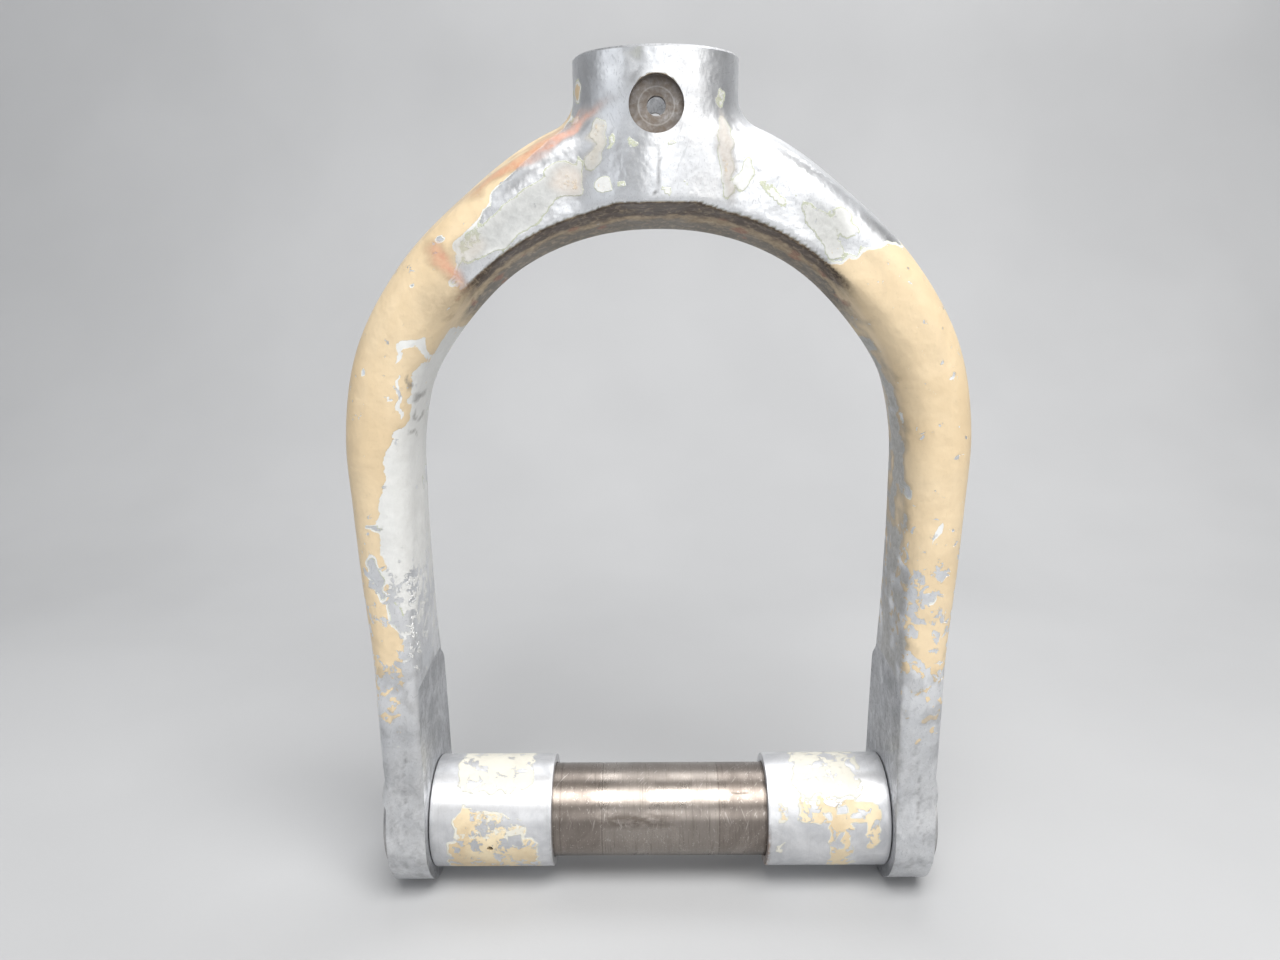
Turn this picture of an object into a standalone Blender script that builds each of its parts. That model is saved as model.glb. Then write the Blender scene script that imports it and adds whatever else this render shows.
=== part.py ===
"""Aircraft nose landing-gear fork with its axle, for Blender 4.5.

Metres, +Z up. The origin is the centre of the strut socket's mouth, +Z runs up
the socket's axis, X runs along the axle and -Y is the side that the cross
bolt's nut goes in from. Run with: blender --background --python part.py
"""

import math

import bmesh
import bpy
import numpy as np
from mathutils import Vector

# ---------------------------------------------------------------- dimensions
GAP = 0.0003  # clearance between pieces that touch
OVERLAP = 0.0010  # how far a joined blank runs into its neighbour
OVERRUN = 0.0100  # how far a cutter runs past the material
SIDES = 48  # facets round a large turned piece
SMALL_SIDES = 24  # facets round a small one
PIN_SIDES = 12  # facets round a hole for a pin
WELD = 0.00001  # points nearer than this are one point
CREASE = math.radians(35)  # edges sharper than this stay sharp
FINE_EDGE = 0.0004  # edge breaks on the turned pieces
TUBE_EDGE = 0.0006
STUD_EDGE = 0.0008

AXLE_DROP = 0.3000  # socket mouth down to the axle's centre line
AXLE_RADIUS = 0.01905  # 1.5 in axle tube
AXLE_WALL = 0.00315
PAD_X = 0.0952  # machined inner face of each lug
AXLE_HALF = PAD_X - GAP

SPACER_RADIUS = 0.02305
SPACER_LENGTH = 0.0503
SPACER_HOLE_RADIUS = 0.0013
SPACER_HOLE_IN = 0.0248  # from the spacer's outer end to its small cross hole
SPACER_HOLE_ANGLE = math.radians(8.3)  # below the horizontal, on the nut side

LUG_OUTER_X = 0.1110  # spot-faced outer side of each lug
LUG_RADIUS = 0.0279
LUG_BORE = AXLE_RADIUS - AXLE_WALL
LUG_FACING = 0.0020  # the facing cut's rim round the lug

CUP_FLANGE_RADIUS = 0.0224
CUP_FLANGE = 0.0026
CUP_RADIUS = LUG_BORE - GAP
CUP_RECESS_RADIUS = 0.0127
CUP_FLOOR = 0.0030
CUP_OUTER_X = LUG_OUTER_X + GAP + CUP_FLANGE
CUP_DEPTH = 0.0270

STUD_RADIUS = 0.0047625  # 3/8 in
WASHER_RADIUS = 0.0087
WASHER = 0.0015
NUT_FLATS = 0.0143
NUT_HEIGHT = 0.0103
NUT_CROWN_RADIUS = 0.0066
NUT_SLOT_WIDTH = 0.0032
NUT_SLOT_DEPTH = 0.0037
SEAT_X = CUP_OUTER_X - CUP_DEPTH  # floor inside the cup, where the washer sits
NUT_X = SEAT_X + 2 * GAP + WASHER
STUD_HALF = NUT_X + NUT_HEIGHT + 0.0012  # the stud stands proud of its nuts
COTTER_X = NUT_X + NUT_HEIGHT - NUT_SLOT_DEPTH / 2
COTTER_RADIUS = 0.0010
COTTER_HOLE_RADIUS = COTTER_RADIUS + GAP
COTTER_EYE_RADIUS = 0.0016
COTTER_EYE_OUT = 0.0094  # eye's centre from the stud's axis
COTTER_EYE_TURN = (math.radians(215), math.radians(-90), 14)  # from, to, points
COTTER_NECK = 0.0010  # straight lead from the eye into the shank
COTTER_BEND_LEAD = 0.0009
COTTER_BEND_RUN = 0.0013
COTTER_BEND_RISE = 0.0022
COTTER_BEND_TURN = (0, math.radians(75), 6)
COTTER_TAIL_RUN = 0.0006
COTTER_TAIL = 0.0032

COLLAR_RADIUS = 0.02915
COLLAR_EDGE = 0.0008
COLLAR_FRONT_BOTTOM = 0.0490  # the collar's outer wall ends here
CROWN_RIDGE = 0.0562  # the collar's under side comes down to here, inside the crown
SOCKET_RADIUS = 0.01905
SOCKET_DEPTH = 0.0400
CROSS_HOLE_DROP = 0.0180
CROSS_HOLE_RADIUS = 0.0032
SPOT_RADIUS = 0.0091
SPOT_DEPTH = 0.0060
SPOT_SIDES = 32

PAD_TOP = 0.0615  # above the axle's centre line
PAD_REAR_Y = 0.0252
PAD_BACKING = 0.0110  # metal joined on behind the pad's machined face
PAD_CUT_Y = 0.0500  # half the depth of the cut between the pads

# One arm, from the middle of the crown down to the lug: distance out from the
# centre plane, height over the axle, half the thickness across the arm, half
# the depth front to back, squareness of the section, and how much each side
# falls away from the parting line to the front and back faces.
ARM = (
    (0.0000, 0.2645, 0.0218, 0.0225, 3.8, 0.30),
    (0.0326, 0.2577, 0.0194, 0.0222, 3.8, 0.30),
    (0.0598, 0.2421, 0.0164, 0.0220, 3.8, 0.30),
    (0.0831, 0.2200, 0.0161, 0.0216, 3.4, 0.28),
    (0.0981, 0.1959, 0.0151, 0.0212, 3.1, 0.24),
    (0.1049, 0.1682, 0.0142, 0.0210, 2.8, 0.20),
    (0.1056, 0.1400, 0.0129, 0.0211, 2.7, 0.18),
    (0.1050, 0.1100, 0.0116, 0.0214, 2.7, 0.16),
    (0.1039, 0.0800, 0.0102, 0.0224, 2.8, 0.14),
    (0.1035, 0.0580, 0.0098, 0.0240, 3.0, 0.12),
    (0.1031, 0.0300, 0.0093, 0.0248, 3.4, 0.10),
    (0.1026, -0.0040, 0.0088, 0.0246, 3.6, 0.08),
)
ARM_STEPS = 20  # sections along one arm
SECTION_SIDES = 28

FINISHES = {  # colour, roughness, metallic
    "fork_alloy": ((0.62, 0.57, 0.46, 1), 0.55, 0.3),
    "axle_steel": ((0.36, 0.33, 0.30, 1), 0.28, 1.0),
    "spacer_aluminium": ((0.68, 0.69, 0.71, 1), 0.38, 1.0),
    "cup_steel": ((0.60, 0.61, 0.62, 1), 0.35, 1.0),
    "plated_steel": ((0.55, 0.50, 0.38, 1), 0.40, 1.0),
}


# ------------------------------------------------------------------- helpers
def clear_scene():
    for old in list(bpy.data.objects):
        bpy.data.objects.remove(old, do_unlink=True)


def new_collection(name, hidden=False):
    made = bpy.data.collections.new(name)
    made.hide_render = hidden
    bpy.context.scene.collection.children.link(made)
    return made


def finish(name, values):
    colour, roughness, metallic = values
    made = bpy.data.materials.new(name)
    made.use_nodes = True
    shader = made.node_tree.nodes["Principled BSDF"]
    shader.inputs["Base Color"].default_value = colour
    shader.inputs["Roughness"].default_value = roughness
    shader.inputs["Metallic"].default_value = metallic
    return made


def add_object(name, mesh, collection, material=None):
    made = bpy.data.objects.new(name, mesh)
    collection.objects.link(made)
    if material and not mesh.materials:
        mesh.materials.append(material)
    return made


def mesh_from(name, build):
    """A mesh filled by build(bmesh)."""
    shape = bmesh.new()
    build(shape)
    mesh = bpy.data.meshes.new(name)
    shape.to_mesh(mesh)
    shape.free()
    return mesh


def baked(source):
    """The object's evaluated mesh, smooth but for its sharp edges; the object is removed."""
    graph = bpy.context.evaluated_depsgraph_get()
    mesh = bpy.data.meshes.new_from_object(source.evaluated_get(graph))
    mesh.name = source.name
    bpy.data.objects.remove(source, do_unlink=True)
    mesh.shade_smooth()
    mesh.set_sharp_from_angle(angle=CREASE)
    return mesh


def turned(name, profile, sides, collection, closed=True):
    """A turned solid about local Z. The profile's (radius, height) points run
    down the outer side; a closed profile is a ring's, an open one ends on the axis."""
    edges = [(i, i + 1) for i in range(len(profile) - 1)]
    if closed:
        edges.append((len(profile) - 1, 0))
    mesh = bpy.data.meshes.new(name)
    mesh.from_pydata([(r, 0, h) for r, h in profile], edges, [])
    made = add_object(name, mesh, collection)
    screw = made.modifiers.new("turn", "SCREW")
    screw.steps = sides
    screw.render_steps = sides
    screw.use_merge_vertices = True
    screw.merge_threshold = WELD
    return made


def cylinder_cutter(name, radius, start, end, sides):
    """A hidden cylinder from start to end."""
    start, end = Vector(start), Vector(end)
    axis = end - start

    def build(shape):
        bmesh.ops.create_cone(
            shape,
            cap_ends=True,
            segments=sides,
            radius1=radius,
            radius2=radius,
            depth=axis.length,
        )

    made = add_object(name, mesh_from(name, build), cutters)
    made.location = (start + end) / 2
    made.rotation_euler = axis.to_track_quat("Z", "Y").to_euler()
    made.display_type = "WIRE"
    made.hide_render = True
    return made


def box_cutter(name, low, high):
    """A hidden box between two corners."""
    low, high = Vector(low), Vector(high)
    size = high - low

    def build(shape):
        bmesh.ops.create_cube(shape, size=1.0)
        bmesh.ops.scale(shape, vec=size, verts=shape.verts)

    made = add_object(name, mesh_from(name, build), cutters)
    made.location = (low + high) / 2
    made.display_type = "WIRE"
    made.hide_render = True
    return made


def combine(target, other, operation):
    step = target.modifiers.new(other.name, "BOOLEAN")
    step.solver = "EXACT"
    step.operation = operation
    step.object = other


def helper_solid(source):
    """Makes a visible solid a hidden one, to be joined into another."""
    cutters.objects.link(source)
    parts.objects.unlink(source)
    source.display_type = "WIRE"
    source.hide_render = True
    return source


def on_axle(name, mesh, side, material):
    """An object on the axle's centre line, its local +Z pointing out to one side."""
    made = add_object(name, mesh, parts, material)
    made.location = (0, 0, -AXLE_DROP)
    made.rotation_euler = (0, side * math.pi / 2, 0)
    return made


# ---------------------------------------------------------------------- fork
def section(half_thick, half_depth, power, draft):
    """One arm section as (across, depth) points: a squarish oval whose two
    sides fall away from the parting line."""
    points = []
    for turn in np.linspace(0, 2 * math.pi, SECTION_SIDES, endpoint=False):
        c, s = math.cos(turn), math.sin(turn)
        depth = math.copysign(abs(s) ** (2 / power), s)
        across = math.copysign(abs(c) ** (2 / power), c)
        across *= 1 - draft * abs(depth)
        points.append((across * half_thick, depth * half_depth))
    return points


def smooth_rows(rows, count):
    """Rows read at even steps along a smooth curve through the given ones."""
    rows = np.array(rows)
    steps = np.hypot(*np.diff(rows[:, :2], axis=0).T)
    along = np.concatenate([[0], np.cumsum(steps)])
    slopes = np.gradient(rows, along, axis=0)
    slopes[0, 1:] = 0  # the arch is level and symmetric at its middle
    made = []
    for place in np.linspace(0, along[-1], count):
        i = min(np.searchsorted(along, place, side="right") - 1, len(rows) - 2)
        width = along[i + 1] - along[i]
        t = (place - along[i]) / width
        start = (1 + 2 * t) * (1 - t) ** 2 * rows[i] + t * (1 - t) ** 2 * width * slopes[i]
        end = t * t * (3 - 2 * t) * rows[i + 1] + t * t * (t - 1) * width * slopes[i + 1]
        made.append(start + end)
    return np.array(made)


def arch_mesh():
    """Both arms and the crown as one loft, lug to lug."""
    half = smooth_rows(ARM, ARM_STEPS)
    left = half[::-1].copy()
    left[:, 0] *= -1
    rows = np.vstack([left, half[1:]])
    directions = np.gradient(rows[:, :2], axis=0)

    def build(shape):
        rings = []
        for (x, z, *shape_values), (dx, dz) in zip(rows, directions):
            length = math.hypot(dx, dz)
            out_x, out_z = -dz / length, dx / length
            ring = []
            for across, depth in section(*shape_values):
                place = (x + across * out_x, depth, z + across * out_z - AXLE_DROP)
                ring.append(shape.verts.new(place))
            rings.append(ring)
        for first, second in zip(rings, rings[1:]):
            for i in range(SECTION_SIDES):
                j = (i + 1) % SECTION_SIDES
                shape.faces.new((first[i], first[j], second[j], second[i]))
        shape.faces.new(rings[0][::-1])
        shape.faces.new(rings[-1])
        bmesh.ops.recalc_face_normals(shape, faces=shape.faces)

    return mesh_from("fork_yoke", build)


def make_fork():
    """The one-piece forging: arch, collar, lugs and every machined cut."""
    fork = add_object("fork_yoke", arch_mesh(), parts, finishes["fork_alloy"])

    collar_profile = (
        (0, 0),
        (COLLAR_RADIUS - COLLAR_EDGE, 0),
        (COLLAR_RADIUS, -COLLAR_EDGE),
        (COLLAR_RADIUS, -COLLAR_FRONT_BOTTOM),
        (0, -CROWN_RIDGE),
    )
    collar = turned("collar_blank", collar_profile, SIDES, parts, closed=False)
    combine(fork, helper_solid(collar), "UNION")

    for side in (-1, 1):
        name = "left" if side < 0 else "right"
        lug = cylinder_cutter(
            f"lug_blank_{name}",
            LUG_RADIUS,
            (side * (PAD_X - OVERLAP), 0, -AXLE_DROP),
            (side * LUG_OUTER_X, 0, -AXLE_DROP),
            SIDES,
        )
        combine(fork, lug, "UNION")
        low_x, high_x = sorted((side * (PAD_X - OVERLAP), side * (PAD_X + PAD_BACKING)))
        pad = box_cutter(
            f"pad_blank_{name}",
            (low_x, 0, -AXLE_DROP),
            (high_x, PAD_REAR_Y, PAD_TOP - AXLE_DROP),
        )
        combine(fork, pad, "UNION")

    inner = box_cutter(
        "between_pads",
        (-PAD_X, -PAD_CUT_Y, -AXLE_DROP - PAD_CUT_Y),
        (PAD_X, PAD_CUT_Y, PAD_TOP + OVERRUN - AXLE_DROP),
    )
    combine(fork, inner, "DIFFERENCE")

    for side in (-1, 1):
        name = "left" if side < 0 else "right"
        face = cylinder_cutter(
            f"lug_face_{name}",
            LUG_RADIUS + LUG_FACING,
            (side * LUG_OUTER_X, 0, -AXLE_DROP),
            (side * (LUG_OUTER_X + OVERRUN), 0, -AXLE_DROP),
            SIDES,
        )
        combine(fork, face, "DIFFERENCE")

    lug_bores = cylinder_cutter(
        "lug_bores",
        LUG_BORE,
        (-LUG_OUTER_X - OVERRUN, 0, -AXLE_DROP),
        (LUG_OUTER_X + OVERRUN, 0, -AXLE_DROP),
        SIDES,
    )
    combine(fork, lug_bores, "DIFFERENCE")

    socket = cylinder_cutter(
        "strut_socket", SOCKET_RADIUS, (0, 0, -SOCKET_DEPTH), (0, 0, OVERRUN), SIDES
    )
    combine(fork, socket, "DIFFERENCE")

    reach = COLLAR_RADIUS + OVERRUN
    cross_hole = cylinder_cutter(
        "cross_bolt_hole",
        CROSS_HOLE_RADIUS,
        (0, -reach, -CROSS_HOLE_DROP),
        (0, reach, -CROSS_HOLE_DROP),
        SMALL_SIDES,
    )
    combine(fork, cross_hole, "DIFFERENCE")
    seat = COLLAR_RADIUS - SPOT_DEPTH
    for name, side in (("front", -1), ("rear", 1)):
        spot = cylinder_cutter(
            f"bolt_seat_{name}",
            SPOT_RADIUS,
            (0, side * seat, -CROSS_HOLE_DROP),
            (0, side * reach, -CROSS_HOLE_DROP),
            SPOT_SIDES,
        )
        combine(fork, spot, "DIFFERENCE")
    return fork


# ---------------------------------------------------------------- axle stack
def make_axle_tube():
    inside = AXLE_RADIUS - AXLE_WALL
    edge = TUBE_EDGE
    profile = (
        (inside, AXLE_HALF),
        (AXLE_RADIUS - edge, AXLE_HALF),
        (AXLE_RADIUS, AXLE_HALF - edge),
        (AXLE_RADIUS, -AXLE_HALF + edge),
        (AXLE_RADIUS - edge, -AXLE_HALF),
        (inside, -AXLE_HALF),
    )
    mesh = baked(turned("axle_tube", profile, SIDES, parts))
    return on_axle("axle_tube", mesh, 1, finishes["axle_steel"])


def make_spacer(name, side):
    """A sleeve on the axle; the left one has a small cross hole."""
    inside = AXLE_RADIUS + GAP
    inner_end = AXLE_HALF - SPACER_LENGTH
    edge = FINE_EDGE
    profile = (
        (inside, AXLE_HALF),
        (SPACER_RADIUS - edge, AXLE_HALF),
        (SPACER_RADIUS, AXLE_HALF - edge),
        (SPACER_RADIUS, inner_end + edge),
        (SPACER_RADIUS - edge, inner_end),
        (inside, inner_end),
    )
    mesh = baked(turned(name, profile, SIDES, parts))
    spacer = on_axle(name, mesh, side, finishes["spacer_aluminium"])
    if side < 0:
        x = side * (AXLE_HALF - SPACER_HOLE_IN)
        y = -math.cos(SPACER_HOLE_ANGLE)
        z = -math.sin(SPACER_HOLE_ANGLE)
        near, far = AXLE_RADIUS, SPACER_RADIUS + OVERRUN
        hole = cylinder_cutter(
            "spacer_hole",
            SPACER_HOLE_RADIUS,
            (x, near * y, near * z - AXLE_DROP),
            (x, far * y, far * z - AXLE_DROP),
            PIN_SIDES,
        )
        combine(spacer, hole, "DIFFERENCE")
    return spacer


def cup_mesh():
    """The flanged cup that goes through a lug into the end of the axle tube."""
    bottom = SEAT_X - CUP_FLOOR
    edge = FINE_EDGE
    profile = (
        (CUP_RECESS_RADIUS, CUP_OUTER_X),
        (CUP_FLANGE_RADIUS - edge, CUP_OUTER_X),
        (CUP_FLANGE_RADIUS, CUP_OUTER_X - edge),
        (CUP_FLANGE_RADIUS, LUG_OUTER_X + GAP),
        (CUP_RADIUS, LUG_OUTER_X + GAP),
        (CUP_RADIUS, bottom),
        (STUD_RADIUS + GAP, bottom),
        (STUD_RADIUS + GAP, SEAT_X),
        (CUP_RECESS_RADIUS, SEAT_X),
    )
    return baked(turned("axle_cup", profile, SIDES, parts))


def washer_mesh():
    low = SEAT_X + GAP
    inside = STUD_RADIUS + GAP
    profile = (
        (inside, low + WASHER),
        (WASHER_RADIUS, low + WASHER),
        (WASHER_RADIUS, low),
        (inside, low),
    )
    return baked(turned("stud_washer", profile, SMALL_SIDES, parts))


def castle_nut_mesh():
    """A six-slot castle nut, with its slots lined up with the cotter hole."""
    body = NUT_HEIGHT - NUT_SLOT_DEPTH
    reach = NUT_FLATS / math.sqrt(3)

    def build(shape):
        bmesh.ops.create_cone(
            shape,
            cap_ends=True,
            segments=6,
            radius1=reach,
            radius2=reach,
            depth=body,
        )
        bmesh.ops.translate(shape, vec=(0, 0, NUT_X + body / 2), verts=shape.verts)

    nut = add_object("castle_nut", mesh_from("castle_nut", build), parts)
    crown_profile = (
        (0, NUT_X + NUT_HEIGHT),
        (NUT_CROWN_RADIUS - FINE_EDGE, NUT_X + NUT_HEIGHT),
        (NUT_CROWN_RADIUS, NUT_X + NUT_HEIGHT - FINE_EDGE),
        (NUT_CROWN_RADIUS, NUT_X + body - OVERLAP),
        (0, NUT_X + body - OVERLAP),
    )
    crown = turned("nut_crown", crown_profile, SMALL_SIDES, parts, closed=False)
    combine(nut, helper_solid(crown), "UNION")
    thread = cylinder_cutter(
        "nut_thread",
        STUD_RADIUS + GAP,
        (0, 0, NUT_X - OVERRUN),
        (0, 0, NUT_X + NUT_HEIGHT + OVERRUN),
        SMALL_SIDES,
    )
    combine(nut, thread, "DIFFERENCE")
    for i in range(3):
        slot = box_cutter(
            f"nut_slot_{i}",
            (-reach, -NUT_SLOT_WIDTH / 2, NUT_X + body),
            (reach, NUT_SLOT_WIDTH / 2, NUT_X + NUT_HEIGHT + OVERRUN),
        )
        slot.rotation_euler = (0, 0, i * math.pi / 3)
        combine(nut, slot, "DIFFERENCE")
    return baked(nut)


def make_stud():
    """The tie stud, drilled across near each end for a cotter pin."""
    edge = STUD_EDGE
    profile = (
        (0, STUD_HALF),
        (STUD_RADIUS - edge, STUD_HALF),
        (STUD_RADIUS, STUD_HALF - edge),
        (STUD_RADIUS, -STUD_HALF + edge),
        (STUD_RADIUS - edge, -STUD_HALF),
        (0, -STUD_HALF),
    )
    stud_solid = turned("tie_stud", profile, SMALL_SIDES, parts, closed=False)
    stud = on_axle("tie_stud", baked(stud_solid), 1, finishes["plated_steel"])
    for name, side in (("left", -1), ("right", 1)):
        hole = cylinder_cutter(
            f"cotter_hole_{name}",
            COTTER_HOLE_RADIUS,
            (side * COTTER_X, 0, -AXLE_DROP - OVERRUN),
            (side * COTTER_X, 0, -AXLE_DROP + OVERRUN),
            PIN_SIDES,
        )
        combine(stud, hole, "DIFFERENCE")
    return stud


def cotter_mesh():
    """A split pin: an open eye, a shank through nut and stud, and a bent end."""
    points = []
    for turn in np.linspace(*COTTER_EYE_TURN):
        up = COTTER_EYE_OUT - COTTER_EYE_RADIUS * math.sin(turn)
        points.append((up, COTTER_EYE_RADIUS * math.cos(turn)))
    points.append((COTTER_EYE_OUT - 2 * COTTER_EYE_RADIUS - COTTER_NECK, 0))
    bend = COTTER_BEND_LEAD - (NUT_CROWN_RADIUS + COTTER_RADIUS + GAP)
    for turn in np.linspace(*COTTER_BEND_TURN):
        across = COTTER_BEND_RISE * (1 - math.cos(turn))
        points.append((bend - COTTER_BEND_RUN * math.sin(turn), across))
    up, across = points[-1]
    points.append((up - COTTER_TAIL_RUN, across + COTTER_TAIL))
    curve = bpy.data.curves.new("cotter_pin", "CURVE")
    curve.dimensions = "3D"
    curve.bevel_depth = COTTER_RADIUS
    curve.bevel_resolution = 2
    curve.use_fill_caps = True
    line = curve.splines.new("POLY")
    line.points.add(len(points) - 1)
    for point, (up, across) in zip(line.points, points):
        point.co = (-up, across, COTTER_X, 1)
    mesh = baked(add_object("cotter_pin", curve, parts))

    def weld(shape):
        shape.from_mesh(mesh)
        bmesh.ops.remove_doubles(shape, verts=shape.verts, dist=WELD)

    return mesh_from("cotter_pin", weld)


def make_axle_stack():
    make_axle_tube()
    make_stud()
    meshes = {
        "axle_cup": (cup_mesh(), "cup_steel"),
        "stud_washer": (washer_mesh(), "plated_steel"),
        "castle_nut": (castle_nut_mesh(), "plated_steel"),
        "cotter_pin": (cotter_mesh(), "plated_steel"),
    }
    for name, side in (("left", -1), ("right", 1)):
        make_spacer(f"spacer_{name}", side)
        for kind, (mesh, slot) in meshes.items():
            on_axle(f"{kind}_{name}", mesh, side, finishes[slot])


clear_scene()
parts = new_collection("nose_gear_fork")
cutters = new_collection("cutters", hidden=True)
finishes = {name: finish(name, values) for name, values in FINISHES.items()}
make_fork()
make_axle_stack()
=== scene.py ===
# %% [markdown]
# # A nose landing-gear fork, worn and part sanded
#
# The real object is the fork that carries the nose wheel of a light aircraft. One light-alloy
# forging goes up one side of the wheel, over its top and down the other side. A collar on the
# crown takes the strut. A steel tube joins the two feet, with a sleeve at each end that holds
# the wheel's bearings apart.
#
# This lesson builds its looks around a finished engineering model, the frame. The frame says
# where every piece is and how it moves. Each step first says what the piece is on the real
# object, how it could be made, and why one way was chosen.

# %% Load the frame
import math

import bmesh
import bpy
import numpy as np
from mathutils import Matrix, Vector


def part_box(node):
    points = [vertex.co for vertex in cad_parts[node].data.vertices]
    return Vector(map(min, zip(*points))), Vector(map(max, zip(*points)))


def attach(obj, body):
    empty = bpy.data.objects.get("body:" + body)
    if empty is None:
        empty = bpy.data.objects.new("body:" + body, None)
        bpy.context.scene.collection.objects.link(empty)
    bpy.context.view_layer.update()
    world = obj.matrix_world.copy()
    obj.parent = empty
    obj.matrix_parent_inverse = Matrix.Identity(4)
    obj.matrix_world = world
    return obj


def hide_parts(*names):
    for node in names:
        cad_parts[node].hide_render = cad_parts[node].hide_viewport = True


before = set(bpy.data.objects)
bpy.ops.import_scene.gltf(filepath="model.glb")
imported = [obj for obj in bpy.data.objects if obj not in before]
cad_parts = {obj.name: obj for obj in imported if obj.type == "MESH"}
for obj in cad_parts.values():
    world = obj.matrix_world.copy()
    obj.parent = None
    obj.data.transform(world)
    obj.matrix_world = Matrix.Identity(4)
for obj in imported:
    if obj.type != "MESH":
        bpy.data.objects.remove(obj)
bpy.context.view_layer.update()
tube_low, tube_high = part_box("axle_tube")
fork_low, fork_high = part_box("fork_yoke")
AXLE_Z = (tube_low.z + tube_high.z) / 2
RIM_Z = fork_high.z
FLOOR_Z = fork_low.z
print("axle height", round(AXLE_Z, 4), "rim", round(RIM_Z, 4), "floor", round(FLOOR_Z, 4))

# %% [markdown]
# ## The camera
#
# The fork is seen from close by, a little from above, so the collar looks large and the feet
# small. A long lens would flatten that. The camera is placed by three numbers: where it
# stands, how far it looks down, and how far it turns and leans to the side.

# %% Camera
CAMERA_PLACE = Vector((-0.003512, -0.348403, -0.059935))
LOOK_DOWN = 0.2595
TURN = -0.0097
LEAN = -0.0102
LENS = 25.76
SENSOR = 36.0
CLIP = (0.01, 20.0)


def camera_turn(down, turn, lean):
    """The camera's axes as a rotation, from looking down, turning and leaning in radians."""
    ahead = Vector((math.sin(turn) * math.cos(down), math.cos(turn) * math.cos(down), -math.sin(down)))
    across = Vector((math.cos(turn), -math.sin(turn), 0))
    upward = across.cross(ahead)
    right = math.cos(lean) * across + math.sin(lean) * upward
    up = -math.sin(lean) * across + math.cos(lean) * upward
    return Matrix((right, up, -ahead)).transposed().to_4x4()


camera_data = bpy.data.cameras.new("camera")
camera_data.lens = LENS
camera_data.sensor_width = SENSOR
camera_data.sensor_fit = "HORIZONTAL"
camera_data.clip_start, camera_data.clip_end = CLIP
camera = bpy.data.objects.new("camera", camera_data)
bpy.context.scene.collection.objects.link(camera)
camera.matrix_world = Matrix.Translation(CAMERA_PLACE) @ camera_turn(LOOK_DOWN, TURN, LEAN)
bpy.context.scene.camera = camera
print("camera", [round(v, 3) for v in camera.matrix_world.translation], "lens", LENS)

# %% [markdown]
# ## Floor and light
#
# A plain pale floor that turns up into a wall keeps every edge of the fork readable. The
# curve between them leaves no horizon line. The light is a broad panel overhead and to the
# front, with a weaker one on each side, so bare metal has something bright to reflect and the
# wheel space stays softly shaded.

# %% Helpers for meshes and objects
def mesh_from(name, points, faces):
    mesh = bpy.data.meshes.new(name)
    mesh.from_pydata([tuple(p) for p in points], [], [tuple(f) for f in faces])
    mesh.validate()
    mesh.update()
    return mesh


def add_object(name, mesh):
    made = bpy.data.objects.new(name, mesh)
    bpy.context.scene.collection.objects.link(made)
    return made


def from_shape(name, shape):
    """An object from an edit mesh, which is then let go."""
    mesh = bpy.data.meshes.new(name)
    shape.to_mesh(mesh)
    shape.free()
    return add_object(name, mesh)


# %% Floor sheet
SHEET_WIDTH = 3.2
SHEET_FRONT = -1.6
SHEET_BACK = 0.75
SHEET_BEND = 0.45
SHEET_TOP = 1.8
BEND_STEPS = 24


def floor_sheet():
    """A sheet from the front, flat, then round a quarter bend and up."""
    line = [(SHEET_FRONT, FLOOR_Z)]
    for turn in np.linspace(0, math.pi / 2, BEND_STEPS):
        y = SHEET_BACK - SHEET_BEND + SHEET_BEND * math.sin(turn)
        line.append((y, FLOOR_Z + SHEET_BEND * (1 - math.cos(turn))))
    line.append((SHEET_BACK, FLOOR_Z + SHEET_TOP))
    points = [(side * SHEET_WIDTH, y, z) for y, z in line for side in (-1, 1)]
    faces = [(2 * i, 2 * i + 1, 2 * i + 3, 2 * i + 2) for i in range(len(line) - 1)]
    return mesh_from("floor_sheet", points, faces)


floor = add_object("floor_sheet", floor_sheet())
floor.data.shade_smooth()
print("floor sheet", len(floor.data.polygons), "faces")

# %% Lights
LIGHTS = {  # place, size, watts, colour
    "overhead": ((0.16, -0.50, 0.85), (0.95, 0.60), 17.0, (1.0, 0.99, 0.97)),
    "left_fill": ((-1.3, -0.7, 0.25), (1.1, 1.4), 5.0, (0.93, 0.96, 1.0)),
    "right_fill": ((1.2, -0.9, 0.35), (0.7, 1.0), 5.0, (1.0, 0.98, 0.95)),
    "front_fill": ((0.25, -1.6, 0.25), (1.2, 0.7), 6.0, (1.0, 1.0, 1.0)),
    "back_fill": ((0.15, 0.55, 0.75), (0.9, 0.5), 4.5, (1.0, 1.0, 1.0)),
}
WORLD_COLOUR = (0.80, 0.82, 0.85, 1)
WORLD_STRENGTH = 0.16
BACKDROP_COLOUR = (0.62, 0.63, 0.64, 1)


def add_light(name, place, size, watts, colour):
    data = bpy.data.lights.new(name, "AREA")
    data.shape = "RECTANGLE"
    data.size, data.size_y = size
    data.energy = watts
    data.color = colour
    light = add_object(name, data)
    light.location = place
    aim = Vector((0, 0, AXLE_Z / 2)) - Vector(place)
    light.rotation_euler = aim.to_track_quat("-Z", "Y").to_euler()
    return light


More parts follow.
